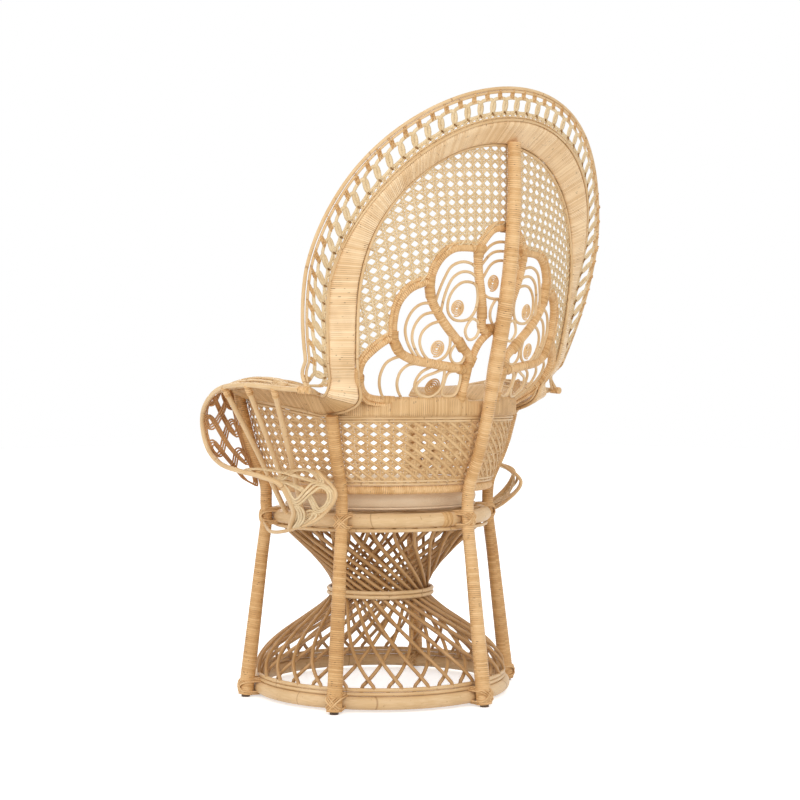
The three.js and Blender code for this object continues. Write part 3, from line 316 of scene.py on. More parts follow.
def ramp(tree, value, low, high, start=0.0, end=1.0):
    made = addNode(tree, "ShaderNodeMapRange",
                   {"Value": value, "From Min": low, "From Max": high, "To Min": start, "To Max": end},
                   interpolation_type="SMOOTHSTEP")
    return made.outputs[0]


def noise(tree, vector, scale, detail=2.0):
    made = addNode(tree, "ShaderNodeTexNoise", {"Vector": vector, "Scale": scale, "Detail": detail})
    return made.outputs[0]


def bumped(tree, shader, height, distance, strength):
    made = addNode(tree, "ShaderNodeBump", {"Height": height, "Distance": distance, "Strength": strength})
    tree.links.new(made.outputs[0], shader.inputs["Normal"])


def rgb(red, green, blue):  # from the eight-bit values seen in a photograph to linear light
    return tuple((part / 255) ** 2.2 for part in (red, green, blue)) + (1.0,)


tones = {
    "peelLight": rgb(236, 198, 146), "peelMiddle": rgb(224, 181, 127), "peelDark": rgb(196, 148, 90),
    "legLight": rgb(226, 184, 130), "legMiddle": rgb(211, 165, 108), "legDark": rgb(180, 130, 74),
    "railLight": rgb(226, 188, 138), "railMiddle": rgb(212, 172, 120), "railDark": rgb(184, 140, 88),
    "bandLight": rgb(252, 223, 182), "bandMiddle": rgb(243, 209, 163), "bandDark": rgb(218, 176, 124),
    "bindLight": rgb(226, 186, 132), "bindMiddle": rgb(208, 162, 104), "bindDark": rgb(176, 126, 72),
    # line is the colour of dark flecks and knots, and of the painted shade in the grooves between wrap turns
    "line": rgb(140, 92, 46), "nick": rgb(96, 58, 26),
    "poleLight": rgb(230, 198, 154), "poleDark": rgb(210, 174, 126),
    "strandLight": rgb(208, 168, 118), "strandDark": rgb(172, 128, 78),
    "reedLight": rgb(230, 200, 156), "reedDark": rgb(206, 168, 118),
    "caneLight": rgb(232, 207, 166), "caneDark": rgb(210, 178, 130),
}


def objectSpot(tree):
    return addNode(tree, "ShaderNodeTexCoord").outputs["Object"]


def kept(tree, name, socket="Fac"):  # what the Geometry Nodes stored on the piece
    return addNode(tree, "ShaderNodeAttribute", attribute_name=name).outputs[socket]


def stretched(tree, vector, sizes):
    made = addNode(tree, "ShaderNodeVectorMath", {0: vector, 1: sizes}, operation="MULTIPLY")
    return made.outputs[0]


def wrapMaterial(name, width, light, middle, dark):
    material, tree, shader = newMaterial(name, 0.5)
    along = kept(tree, "along")
    around = kept(tree, "around", "Vector")
    where = objectSpot(tree)
    phase = turnPhase(tree, along, around, width)
    turn = maths(tree, "FLOOR", phase)
    within = maths(tree, "FRACT", phase)
    apart = maths(tree, "MINIMUM", within, maths(tree, "SUBTRACT", 1.0, within))
    turnTone = addNode(tree, "ShaderNodeTexWhiteNoise", {"W": turn}, noise_dimensions="1D").outputs["Value"]
    lie = addNode(tree, "ShaderNodeSeparateXYZ", {0: around})
    grainSpot = addNode(tree, "ShaderNodeCombineXYZ",
                        {"X": lie.outputs["X"], "Y": lie.outputs["Y"], "Z": times(tree, phase, 3.0)})
    grain = noise(tree, grainSpot.outputs[0], 1.6, 3.0)
    patch = noise(tree, where, 9.0, 2.0)
    tone = plus(tree, times(tree, turnTone, 0.32), times(tree, grain, 0.6))
    tone = plus(tree, tone, times(tree, maths(tree, "SUBTRACT", patch, 0.5), 0.7))
    colour = blend(tree, ramp(tree, tone, 0.05, 0.6), tones[dark], tones[middle])
    colour = blend(tree, ramp(tree, tone, 0.4, 0.9), colour, tones[light])
    # Painted shade: the grooves between the turns are darkened towards the line colour, more in some patches
    # than others
    grooveShadeStrength = noise(tree, where, 30.0, 1.0)
    depth = times(tree, ramp(tree, apart, 0.15, 0.0), ramp(tree, grooveShadeStrength, 0.42, 0.66, 0.25, 1.0))
    colour = blend(tree, depth, colour, tones["line"])
    nickSpot = noise(tree, where, 120.0, 0.0)
    nick = times(tree, ramp(tree, nickSpot, 0.72, 0.8, 0.0, 0.8), ramp(tree, apart, 0.3, 0.05))
    colour = blend(tree, nick, colour, tones["nick"])
    tree.links.new(colour, shader.inputs["Base Color"])
    tree.links.new(ramp(tree, grain, 0.2, 0.8, 0.42, 0.62), shader.inputs["Roughness"])
    bumped(tree, shader, plus(tree, grain, times(tree, ramp(tree, apart, 0.0, 0.2), 1.5)),
           0.0004, 0.5)
    return material


def poleMaterial(name, light, dark, fibres=5.0, nodeSpacing=0.21, usesPath=True):
    material, tree, shader = newMaterial(name, 0.45)
    where = objectSpot(tree)
    if usesPath:
        along = kept(tree, "along")
        around = kept(tree, "around", "Vector")
        tint = kept(tree, "tint")
        lie = addNode(tree, "ShaderNodeSeparateXYZ", {0: around})
        spot = addNode(tree, "ShaderNodeCombineXYZ",
                       {"X": lie.outputs["X"], "Y": lie.outputs["Y"], "Z": times(tree, along, 9.0)})
        fibre = noise(tree, spot.outputs[0], fibres, 3.0)
        knotPlace = plus(tree, maths(tree, "DIVIDE", along, nodeSpacing), times(tree, tint, 3.7))
        knotPlace = plus(tree, knotPlace, noise(tree, where, 3.0, 0.0))
        knot = maths(tree, "ABSOLUTE", maths(tree, "SUBTRACT", maths(tree, "FRACT", knotPlace), 0.5))
        knot = ramp(tree, knot, 0.012, 0.0)
    else:
        fibre = noise(tree, stretched(tree, where, (40, 400, 400)), 1.0, 3.0)
        tint = 0.5
        knot = 0.0
    patch = noise(tree, where, 12.0, 2.0)
    tone = plus(tree, times(tree, fibre, 0.55), times(tree, patch, 0.45))
    tone = plus(tree, tone, times(tree, maths(tree, "SUBTRACT", tint, 0.5), 0.25))
    colour = blend(tree, ramp(tree, tone, 0.3, 0.7), dark, light)
    fleck = ramp(tree, noise(tree, where, 130.0, 1.0), 0.68, 0.78, 0.0, 0.45)
    colour = blend(tree, maths(tree, "MAXIMUM", fleck, times(tree, knot, 0.6)), colour, tones["line"])
    tree.links.new(colour, shader.inputs["Base Color"])
    tree.links.new(ramp(tree, fibre, 0.2, 0.8, 0.36, 0.56), shader.inputs["Roughness"])
    bumped(tree, shader, fibre, 0.0003, 0.4)
    return material


def caneMaterial(name, light, dark):
    material, tree, shader = newMaterial(name, 0.6)
    where = objectSpot(tree)
    along = kept(tree, "along")
    tint = kept(tree, "tint")
    spot = addNode(tree, "ShaderNodeCombineXYZ",
                   {"X": times(tree, tint, 57.0), "Z": times(tree, along, 25.0)})
    streak = noise(tree, spot.outputs[0], 1.0, 2.0)
    fleck = noise(tree, where, 240.0, 2.0)
    tone = plus(tree, times(tree, streak, 0.6), times(tree, fleck, 0.4))
    colour = blend(tree, ramp(tree, tone, 0.3, 0.68), dark, light)
    colour = blend(tree, ramp(tree, fleck, 0.64, 0.76, 0.0, 0.5), colour, tones["line"])
    tree.links.new(colour, shader.inputs["Base Color"])
    bumped(tree, shader, fleck, 0.0004, 0.5)
    return material


def clothMaterial():
    material, tree, shader = newMaterial("naturalCotton", 0.9)
    shader.inputs["Sheen Weight"].default_value = 0.15
    shader.inputs["Sheen Roughness"].default_value = 0.6
    where = objectSpot(tree)
    parts = addNode(tree, "ShaderNodeSeparateXYZ", {0: where})
    threadsPerMetre = 750
    threads = [maths(tree, "SINE", times(tree, parts.outputs[axis], 2 * math.pi * threadsPerMetre))
               for axis in "XYZ"]
    weave = times(tree, plus(tree, threads[0], threads[1]), 0.25)
    weave = plus(tree, weave, times(tree, threads[2], 0.2))
    slub = noise(tree, stretched(tree, where, (60, 900, 900)), 1.0, 2.0)
    soft = noise(tree, where, 14.0, 2.0)
    tone = plus(tree, times(tree, slub, 0.5), times(tree, soft, 0.5))
    tone = plus(tree, tone, times(tree, weave, 0.2))
    colour = blend(tree, ramp(tree, tone, 0.25, 0.75), rgb(222, 194, 158), rgb(240, 216, 184))
    tree.links.new(colour, shader.inputs["Base Color"])
    bumped(tree, shader, plus(tree, weave, slub), 0.0005, 0.5)
    return material


def glideMaterial():
    material, tree, shader = newMaterial("mouldedGlide", 0.55)
    where = objectSpot(tree)
    speck = noise(tree, where, 500.0, 2.0)
    wear = noise(tree, where, 60.0, 2.0)
    colour = blend(tree, ramp(tree, wear, 0.35, 0.7), rgb(62, 48, 36), rgb(98, 80, 62))
    tree.links.new(colour, shader.inputs["Base Color"])
    tree.links.new(ramp(tree, speck, 0.3, 0.7, 0.45, 0.7), shader.inputs["Roughness"])
    bumped(tree, shader, speck, 0.0002, 0.4)
    return material


peelWrap = wrapMaterial("peelWrap", 0.0046, "peelLight", "peelMiddle", "peelDark")
legPeel = wrapMaterial("legPeel", 0.0046, "legLight", "legMiddle", "legDark")
railPeel = wrapMaterial("railPeel", 0.0042, "railLight", "railMiddle", "railDark")
bandPeel = wrapMaterial("bandPeel", 0.0042, "bandLight", "bandMiddle", "bandDark")
bindingPeel = wrapMaterial("bindingPeel", 0.003, "bindLight", "bindMiddle", "bindDark")
barePole = poleMaterial("barePole", tones["poleLight"], tones["poleDark"])
deckPole = poleMaterial("deckPole", tones["poleLight"], tones["poleDark"], usesPath=False)
bentStrand = poleMaterial("bentStrand", tones["strandLight"], tones["strandDark"], 4.0, 0.17)
thinReed = poleMaterial("thinReed", tones["reedLight"], tones["reedDark"], 4.0, 0.26)
fanWeave = caneMaterial("fanWeave", tones["caneLight"], tones["caneDark"])
wallWeave = caneMaterial("wallWeave", rgb(226, 190, 140), rgb(196, 152, 100))
lashingPeel = caneMaterial("lashingPeel", rgb(232, 194, 142), rgb(192, 144, 90))
coilReed = poleMaterial("coilReed", tones["peelLight"], tones["railMiddle"], 4.0, 0.26)
# A darker copy of the coil reed for the lowest coils: painted shade
paintedShadeCoilReed = poleMaterial("paintedShadeCoilReed", tones["railMiddle"], tones["legDark"], 4.0, 0.26)
# A darker reed for the knots on the arms' front aprons: painted shade
paintedShadeKnotReed = poleMaterial("paintedShadeKnotReed", rgb(200, 150, 96), rgb(150, 100, 54), 4.0, 0.2)
naturalCotton = clothMaterial()
mouldedGlide = glideMaterial()
rodNodes, stripNodes, strandNodes = rodTree(), stripTree(), strandTree()
print("materials and trees made")


# A mesh of edges with one row of points for each path, and the attributes that the trees read
def pathMesh(name, paths):
    spots, edges, radii, outward, tints = [], [], [], [], []
    for k, path in enumerate(paths):
        first = len(spots)
        points = path["points"]
        radius = path.get("radius", 1.0)
        count = len(points)
        for i, point in enumerate(points):
            spots.append(place(point) if path.get("placed", True) else point * mm)
            radii.append(radius[i] if isinstance(radius, list) else radius)
            outward.extend(path["outward"][i] if "outward" in path else (0.0, 0.0, 1.0))
            tints.append(path.get("tint", chance(k, 3)))
        edges += [(first + i, first + i + 1) for i in range(count - 1)]
        if path.get("closed"):
            edges.append((first + count - 1, first))
    mesh = bpy.data.meshes.new(name)
    mesh.from_pydata(spots, edges, [])
    fields = (("rodRadius", "FLOAT", "value", radii), ("tint", "FLOAT", "value", tints),
              ("outward", "FLOAT_VECTOR", "vector", outward))
    for label, kind, field, values in fields:
        mesh.attributes.new(label, kind, "POINT").data.foreach_set(field, values)
    return linked(name, mesh)


def socketId(tree, label):
    return next(item.identifier for item in tree.interface.items_tree
                if item.item_type == "SOCKET" and item.in_out == "INPUT" and item.name == label)


# Runs a tree on a piece and keeps the result as a plain mesh
def grown(piece, tree, settings):
    modifier = piece.modifiers.new("grow", "NODES")
    modifier.node_group = tree
    for label, value in settings.items():
        modifier[socketId(tree, label)] = value
    bpy.context.view_layer.update()
    result = piece.evaluated_get(bpy.context.evaluated_depsgraph_get())
    mesh = bpy.data.meshes.new_from_object(result)
    piece.modifiers.remove(modifier)
    spare = piece.data
    piece.data = mesh
    mesh.name = piece.name
    bpy.data.meshes.remove(spare)
    return piece


def settle(piece, slot, *nodes):
    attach(piece, "root")
    if nodes:
        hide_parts(*nodes)
    return piece


def inMetres(radius):
    return [part * mm for part in radius] if isinstance(radius, list) else radius * mm


def rods(name, paths, material, spacing=6.0, sides=8, turnWidth=4.6, turnHeight=0.0):
    piece = pathMesh(name, [{**path, "radius": inMetres(path["radius"])} for path in paths])
    return grown(piece, rodNodes, {"Ring spacing": spacing * mm, "Sides": sides, "Turn width": turnWidth * mm,
                                   "Turn height": turnHeight * mm, "Material": material})


def strips(name, paths, material, width, thickness):
    return grown(pathMesh(name, paths), stripNodes,
                 {"Strip width": width * mm, "Strip thickness": thickness * mm, "Material": material})


def rodAlong(points, radius, closed=False):
    return {"points": points, "radius": radius, "closed": closed}


def hoopAlong(radius, height, thickness, count=120):
    return rodAlong([polar(radius, 360 * i / count, height) for i in range(count)], thickness, True)


def mirrored(rod):
    return {**rod, "points": flipped(rod["points"])}


bothSides = ((1, "left"), (-1, "right"))

# A skin of wrapped peel over a section that changes along its path: each turn stands a little proud
wrapping = {"turnWidth": 4.2, "ringsPerTurn": 4, "turnHeight": 0.5, "unevenness": 0.25,
            "bandDepth": 7.4, "railDepth": 8, "railHalfHeight": 17}


def wrappedSkin(name, sectionAt, length, material):
    count = round(length / wrapping["turnWidth"]) * wrapping["ringsPerTurn"]
    spots, faces, along, around = [], [], [], []
    sides = 0
    for i in range(count + 1):
        phase = i / wrapping["ringsPerTurn"]
        ridge = abs(math.sin(math.pi * phase)) * wrapping["turnHeight"]
        ridge += wrapping["unevenness"] * (chance(math.floor(phase), 5) - 0.5)
        corners = sectionAt(i / count, ridge)
        sides = len(corners)
        spots += [place(corner) for corner in corners]
        along += [phase * wrapping["turnWidth"] * mm] * sides
        for j in range(sides):
            around.extend((1.0, 0.35 * math.sin(math.pi * j / sides), 0.0))
    for i in range(count):
        for j in range(sides):
            k = (j + 1) % sides
            faces.append((i * sides + j, i * sides + k, (i + 1) * sides + k, (i + 1) * sides + j))
    faces.append(tuple(range(sides - 1, -1, -1)))
    faces.append(tuple(range(count * sides, (count + 1) * sides)))
    mesh = bpy.data.meshes.new(name)
    mesh.from_pydata(spots, [], faces)
    mesh.attributes.new("along", "FLOAT", "POINT").data.foreach_set("value", along)
    mesh.attributes.new("around", "FLOAT_VECTOR", "POINT").data.foreach_set("vector", around)
    mesh.polygons.foreach_set("use_smooth", [True] * len(faces))
    mesh.materials.append(material)
    return linked(name, mesh)


view = {"place": (2713.9, 2666.1, 701.7), "heading": 46.21, "dip": 0.33, "lens": 72.62}
cameraData = bpy.data.cameras.new("camera")
cameraData.lens = view["lens"]
cameraData.sensor_width = 36
cameraData.clip_end = 50
camera = linked("camera", cameraData)
camera.location = place(Vector(view["place"]))
heading, dip = math.radians(view["heading"]), math.radians(view["dip"])
ahead = Vector((-math.sin(heading) * math.cos(dip), -math.cos(heading) * math.cos(dip), -math.sin(dip)))
camera.rotation_euler = ahead.to_track_quat("-Z", "Y").to_euler()
bpy.context.scene.camera = camera

lamps = {
    "key": {"place": (1.9, 2.7, 2.4), "size": 2.2, "power": 42},
    "side": {"place": (2.9, -0.6, 1.7), "size": 2.4, "power": 20},
    "front": {"place": (-1.6, -2.6, 2.2), "size": 2.4, "power": 28},
}
for name, lamp in lamps.items():
    lampData = bpy.data.lights.new(name, "AREA")
    lampData.energy = lamp["power"]
    lampData.size = lamp["size"]
    lampObject = linked(name, lampData)
    lampObject.location = lamp["place"]
    towards = Vector((0, 0, 0.7)) - Vector(lamp["place"])
    lampObject.rotation_euler = towards.to_track_quat("-Z", "Y").to_euler()


def seenDirectly(tree):  # 1 where the camera, a reflection or something clear shows a surface
    ray = addNode(tree, "ShaderNodeLightPath").outputs
    return maths(tree, "MAXIMUM", ray["Is Camera Ray"],
                 maths(tree, "MAXIMUM", ray["Is Glossy Ray"], ray["Is Transmission Ray"]))


world = bpy.data.worlds.new("studio")
bpy.context.scene.world = world
world.use_nodes = True
sky = world.node_tree
strength = addNode(sky, "ShaderNodeMapRange", {"Value": seenDirectly(sky), "To Min": 0.78, "To Max": 1.0})
background = sky.nodes["Background"]
background.inputs["Color"].default_value = (1, 1, 1, 1)
sky.links.new(strength.outputs[0], background.inputs["Strength"])


floorMaterial, floorTree, floorShader = newMaterial("paleFloor", 0.9)
floorTone = blend(floorTree, ramp(floorTree, noise(floorTree, objectSpot(floorTree), 6.0), 0.3, 0.7),
                  (0.9, 0.9, 0.9, 1), (0.92, 0.92, 0.92, 1))
floorTree.links.new(floorTone, floorShader.inputs["Base Color"])
floorShader.inputs["Emission Color"].default_value = (1, 1, 1, 1)
floorTree.links.new(times(floorTree, seenDirectly(floorTree), 0.5), floorShader.inputs["Emission Strength"])
floorHalf = 14
floorMesh = bpy.data.meshes.new("floor")
floorMesh.from_pydata([(x * floorHalf, y * floorHalf, 0) for x, y in ((-1, -1), (1, -1), (1, 1), (-1, 1))],
                      [], [(0, 1, 2, 3)])
floorMesh.materials.append(floorMaterial)
linked("floor", floorMesh)
bpy.context.scene.view_settings.view_transform = "Standard"
print("camera, stage and lamps set")


base = {"lacingRadius": 4.5, "strandRadius": 4.3, "strandCount": 30, "waistRodRadius": 4.75,
        "strandBottom": 53.1, "strandTop": 397.7, "waistStrandRadius": 107.15, "flareTop": 240,
        "lowerTwist": 48, "upperTwist": 62, "layerGap": 11.5, "seatLacingRadius": 4.25,
        "lowerFlarePower": 1.5, "upperFlarePower": 0.85, "lateTwistPower": 5, "lateTwistShare": 0.38,
        "outerShort": 2.6, "innerFoot": 4, "levels": 60,
        "underRodHeight": 392.5, "underRodStep": 4, "underRodRadius": 4,
        "spliceAngles": (7, 12), "spliceStep": 1.2}
ringTop = chair["baseRingHeight"] + chair["basePoleRadius"]
lacingHeights = [ringTop + base["lacingRadius"] + chair["clearance"],
                 ringTop + 3 * base["lacingRadius"] + 2 * chair["clearance"]]

baseHoop = hoopAlong(chair["baseRingRadius"], chair["baseRingHeight"], chair["basePoleRadius"])
settle(rods("baseRing", [baseHoop], barePole, spacing=14, sides=20), "pole", "base_ring")
baseLacing = hoopAlong(chair["baseRingRadius"], lacingHeights[0], base["lacingRadius"])
settle(rods("baseLacingRod", [baseLacing], thinReed, spacing=12, sides=10), "pole", "base_lacing_rod")


def strandProfile(z):  # the radius of the strands at a height, and how far they have turned
    low, waist, top = base["strandBottom"], chair["waistHeight"], base["strandTop"]
    if z < waist:
        share = clamp((waist - z) / (waist - low))
        rise = 1 - share
        flare = math.sin(math.pi / 2 * share) ** base["lowerFlarePower"]
        radius = lerp(base["waistStrandRadius"], chair["baseRingRadius"], flare)
        return radius, base["lowerTwist"] * lerp(rise, rise ** base["lateTwistPower"], base["lateTwistShare"])
    share = clamp((z - waist) / (top - waist))
    flare = (1 - math.cos(math.pi / 2 * share)) ** base["upperFlarePower"]
    radius = lerp(base["waistStrandRadius"], base["flareTop"], flare)
    return radius, base["lowerTwist"] + base["upperTwist"] * (1 - (1 - share) ** 2)


def strandPoint(z, start, isOuter):
    radius, twist = strandProfile(z)
    if isOuter:
        return polar(radius, start + twist, z)
    step = base["strandRadius"]
    slope = (strandProfile(z + step)[0] - strandProfile(z - step)[0]) / (2 * step)
    inward = base["layerGap"] / math.hypot(1, slope)
    return polar(radius - inward, start - twist, z + slope * inward)


for isOuter in (True, False):
    bottom = ringTop + (3 * base["lacingRadius"] if isOuter else base["innerFoot"])
    top = base["strandTop"] - (base["outerShort"] if isOuter else 2 * base["seatLacingRadius"])
    start = 0 if isOuter else 180 / base["strandCount"]
    levels = base["levels"]
    points = [strandPoint(lerp(bottom, top, i / levels), start, isOuter) for i in range(levels + 1)]
    layer = "outer" if isOuter else "inner"
    bent = {"points": points, "radius": base["strandRadius"] * mm, "placed": False}
    piece = pathMesh(layer + "Strands", [bent])
    grown(piece, strandNodes, {"Strand count": base["strandCount"], "Ring spacing": 0.009, "Sides": 8,
                               "Axis": (0.0, axisY, 0.0), "Material": bentStrand})
    settle(piece, "strand", "hourglass_" + layer + "_strands")

end = strandPoint(base["strandTop"] - 2 * base["seatLacingRadius"], 0, False)
laces = [hoopAlong(chair["baseRingRadius"], lacingHeights[1], base["lacingRadius"]),
         hoopAlong(math.hypot(end.x, end.y), end.z, base["seatLacingRadius"])]
settle(rods("laceHoops", laces, thinReed, spacing=12, sides=10), "pole")
for side, tag in ((-1, "Lower"), (1, "Upper")):
    height = chair["waistHeight"] + side * (base["waistRodRadius"] + chair["clearance"] / 2)
    waistHoop = hoopAlong(chair["waistHoopRadius"], height, base["waistRodRadius"], 72)
    settle(rods("waistHoop" + tag, [waistHoop], thinReed, spacing=8, sides=12),
           "pole", "waist_hoop_" + tag.lower())
settle(rods("seatRing", [hoopAlong(chair["seatRingRadius"], seatRingHeight, chair["seatPoleRadius"])],
            barePole, spacing=12, sides=20), "pole", "seat_ring")
underRod = hoopAlong(chair["seatRingRadius"] + base["underRodStep"], base["underRodHeight"],
                     base["underRodRadius"])
settle(rods("seatUnderRod", [underRod], thinReed, spacing=12, sides=10), "pole")
spliceAngles = [lerp(*base["spliceAngles"], i / 8) for i in range(9)]
splice = [polar(chair["seatRingRadius"], degrees, seatRingHeight) for degrees in spliceAngles]
settle(rods("seatSplice", [rodAlong(splice, chair["seatPoleRadius"] + base["spliceStep"])], bindingPeel,
            spacing=1.1, sides=20, turnWidth=4.2, turnHeight=1.1), "wrap")
finishes = {"seat_deck": deckPole}
for leg in ("rear", "rear_left", "rear_right", "front_left", "front_right"):
    finishes["glide_" + leg] = mouldedGlide
for node, material in finishes.items():
    slots = bpy.data.objects[node].data.materials
    slots.clear()
    slots.append(material)
print("base made")


arms = {"bandInner": 320, "bandSpread": 45, "bandRise": 40, "bandRear": 650, "bandFront": 688,
        "angles": (121, 104, 90, 76, 67), "riseShares": (0.45, 0.6, 0.97, 1, 1),
        "reach": 467, "rimTop": 737, "rimEnd": 0.886, "crown": 15}
wall = {"bulge": 8, "turnsBefore": 9, "turnsOver": 6, "underRail": 3.3, "underBand": 8.3, "insideBand": 3,
        "postGap": 4.8}
poles = {"footHeight": 5.3, "taperFrom": 5, "atFoot": 17.5, "atSeat": 13.5, "atRail": 14.5, "behindFan": 17,
         "swellFrom": 660, "swellOver": 90, "swellEndShare": 0.3, "thinOver": 380, "fanGap": 2.8,
         "fanStandOff": (17.5, 14.5), "railGap": 23.3, "postTop": 648, "frontLegTop": 443,
         "armPostFoot": 442.3, "armPostTop": 697}
fan = {"lean": 83, "leanPower": 0.9, "curveRadius": 745, "roundingShare": 0.36,
       "bandFlare": 49, "bandFlareShares": (0.379, 0.4665),
       "rimFlareLow": 5, "rimFlare": 54, "rimFlareShares": (0.15, 0.481),
       "rimDrop": 11, "rimDraw": 0.047, "rimDrawDepth": 213, "rimDrawPower": 1.4,
       "bandTop": 42, "bandDraw": 0.95, "drawnBelow": 760, "poleTop": 1243}


def armBandHeight(degrees):
    share = (degrees - chair["rearPostAngle"]) / (chair["frontLegAngle"] - chair["rearPostAngle"])
    return lerp(arms["bandRear"], arms["bandFront"], easeOut(share))


def wallTop(degrees):  # the radius and height where the wall's cane ends, under the rail or an arm band
    side = abs(degrees)
    beside = clamp((side - chair["rearPostAngle"] + wall["turnsBefore"]) / wall["turnsOver"])
    return (lerp(chair["railRadius"], arms["bandInner"] - wall["insideBand"], beside),
            lerp(chair["railBottom"] - wall["underRail"], armBandHeight(side) - wall["underBand"], beside))


def wallRadius(degrees, z):
    radius, height = wallTop(degrees)
    share = (z - chair["hoopHeight"]) / (height - chair["hoopHeight"])
    return lerp(chair["hoopRadius"], radius, share) + wall["bulge"] * math.sin(math.pi * clamp(share))


def legRadius(z):
    atBase = chair["baseRingRadius"] + chair["basePoleRadius"] + chair["clearance"] + poles["atFoot"]
    atSeat = chair["seatRingRadius"] + chair["seatPoleRadius"] + chair["clearance"] + poles["atSeat"]
    return lerp(atBase, atSeat, (z - chair["baseRingHeight"]) / (seatRingHeight - chair["baseRingHeight"]))


def postRadius(degrees, z, thickness):
    atHoop = chair["hoopRadius"] + chair["hoopPoleRadius"] + chair["clearance"] + thickness
    if z < chair["hoopHeight"]:
        return lerp(legRadius(seatRingHeight), atHoop,
                    (z - seatRingHeight) / (chair["hoopHeight"] - seatRingHeight))
    return max(wallRadius(degrees, z) + wall["postGap"] + thickness, atHoop)


def fanDepth(z):
    share = (z - railMiddle) / (leanTop - railMiddle)
    return chair["railRadius"] + fan["lean"] * easeOut(share) ** fan["leanPower"]


def fanPoint(x, z, back=0.0):
    height = bandCentre + chair["fanBandWidth"] - chair["railTop"]
    rounding = easeOut((z - chair["railTop"]) / height / fan["roundingShare"])
    radius = lerp(chair["railRadius"], fan["curveRadius"], rounding)
    return Vector((x, fanDepth(z) - radius + math.sqrt(max(radius * radius - x * x, 0)) + back, z))


def fanNormal(x, z):  # towards the rear
    sideways = fanPoint(x + 2, z) - fanPoint(x - 2, z)
    upwards = fanPoint(x, z + 2) - fanPoint(x, z - 2)
    return upwards.cross(sideways).normalized()


def upFlare(z, shares):  # how far a height is up a flare that starts and rises by shares of the fan's rise
    start, rise = shares
    return easeOut((z - chair["railTop"] - fanRise * start) / (fanRise * rise))


def bandFlareAt(z):
    return fan["bandFlare"] * upFlare(z, fan["bandFlareShares"])


def rimFlareAt(z):
    return fan["rimFlareLow"] + fan["rimFlare"] * upFlare(z, fan["rimFlareShares"])


def ovalPoint(angle, halfWidth, rise, below, centre):
    upright = math.sin(math.radians(angle))
    return halfWidth * math.cos(math.radians(angle)), centre + (rise if upright > 0 else below) * upright


def rimPoint(angle, inset):
    rise = chair["fanHeight"] - fan["rimDrop"] - rimCentre - inset
    x, z = ovalPoint(angle, chair["fanHalfWidth"] - inset, rise, rimBelow, rimCentre)
    drawn = fan["rimDraw"] * (max(rimCentre - z, 0) / fan["rimDrawDepth"]) ** fan["rimDrawPower"]
    return fanPoint(x * (1 - drawn), z, rimFlareAt(z))


sideAngles = [-21, -15, 0, 22.5, 45, 67.5]
fanAngles = sideAngles + [90] + [180 - angle for angle in reversed(sideAngles)]


def bandEdge(isOuter):
    outward = arms["bandSpread"] if isOuter else 0
    upward = arms["bandRise"] if isOuter else 0
    width = chair["fanBandWidth"] if isOuter else 0
    left = [polar(arms["bandInner"] + outward, degrees, armBandHeight(degrees) + upward * rise)
            for degrees, rise in zip(arms["angles"], arms["riseShares"])]
    shares = (1.181, 0.641, 0.28) if isOuter else (0.958, 0.7055, -0.06)
    left.append(Vector((chair["railRadius"] * shares[0], chair["railRadius"] * shares[1],
                        chair["railTop"] + chair["fanBandWidth"] * shares[2])))
    over = []
    for angle in fanAngles:
        rise = chair["fanOpeningTop"] - bandCentre + (fan["bandTop"] if isOuter else 0)
        x, z = ovalPoint(angle, chair["fanBandInner"] + width, rise, rimBelow, bandCentre)
        x *= fan["bandDraw"] if z < fan["drawnBelow"] else 1
        over.append(fanPoint(x, z, bandFlareAt(z) if isOuter else 0))
    return left + over + flipped(left)[::-1]


innerPoints, outerPoints = bandEdge(False), bandEdge(True)
bandSpans = len(innerPoints) - 1


def edgeAt(points, spot):  # an even Catmull-Rom curve, by the number of spans
    index = min(int(spot), len(points) - 2)
    t = spot - index
    p1, p2 = points[index], points[index + 1]
    p0 = points[index - 1] if index > 0 else p1 * 2 - p2
    p3 = points[index + 2] if index + 2 < len(points) else p2 * 2 - p1
    return 0.5 * (p1 * 2 + (p2 - p0) * t + (p0 * 2 - p1 * 5 + p2 * 4 - p3) * t ** 2
                  + (p1 * 3 - p0 - p2 * 3 + p3) * t ** 3)


def innerAt(spot):
    return edgeAt(innerPoints, spot)


def outerAt(spot):
    return edgeAt(outerPoints, spot)


def bandNormal(spot):  # towards the front of the fan, and towards the sitter on the arms
    ahead = innerAt(min(spot + 0.03, bandSpans)) - innerAt(max(spot - 0.03, 0))
    return (outerAt(spot) - innerAt(spot)).cross(ahead).normalized()


def legPath(degrees, top):
    heights = [lerp(poles["footHeight"], top, i / 4) for i in range(5)]
    return [polar(legRadius(z), degrees, z) for z in heights]


def legThickness(z):
    share = (z - poles["taperFrom"]) / (seatRingHeight - poles["taperFrom"])
    return lerp(poles["atFoot"], poles["atSeat"], clamp(share))


def poleThickness(z):  # the middle pole swells above the rail and thins again towards its top
    if z < seatRingHeight:
        return legThickness(z)
    if z < chair["railTop"]:
        share = (z - seatRingHeight) / (chair["railTop"] - seatRingHeight)
        return lerp(poles["atSeat"], poles["atRail"], share)
    middle = chair["railTop"] + poles["swellEndShare"] * fanRise
    if z < middle:
        return lerp(poles["atRail"], poles["behindFan"], clamp((z - poles["swellFrom"]) / poles["swellOver"]))
    return lerp(poles["behindFan"], poles["atRail"], clamp((z - middle) / poles["thinOver"]))


wraps = {"turnWidth": 4.6, "turnHeight": 0.8, "ringSpacing": 1.15, "sides": 16}


def wrappedRods(name, paths, sides=wraps["sides"], material=peelWrap):
    return rods(name, paths, material, wraps["ringSpacing"], sides, wraps["turnWidth"], wraps["turnHeight"])


def standingPole(name, node, points, thicknessAt, material):
    path = smoothPath(points, 5)
    radii = [thicknessAt(point.z) for point in path]
    settle(wrappedRods(name, [rodAlong(path, radii)], material=material), "wrap", node)


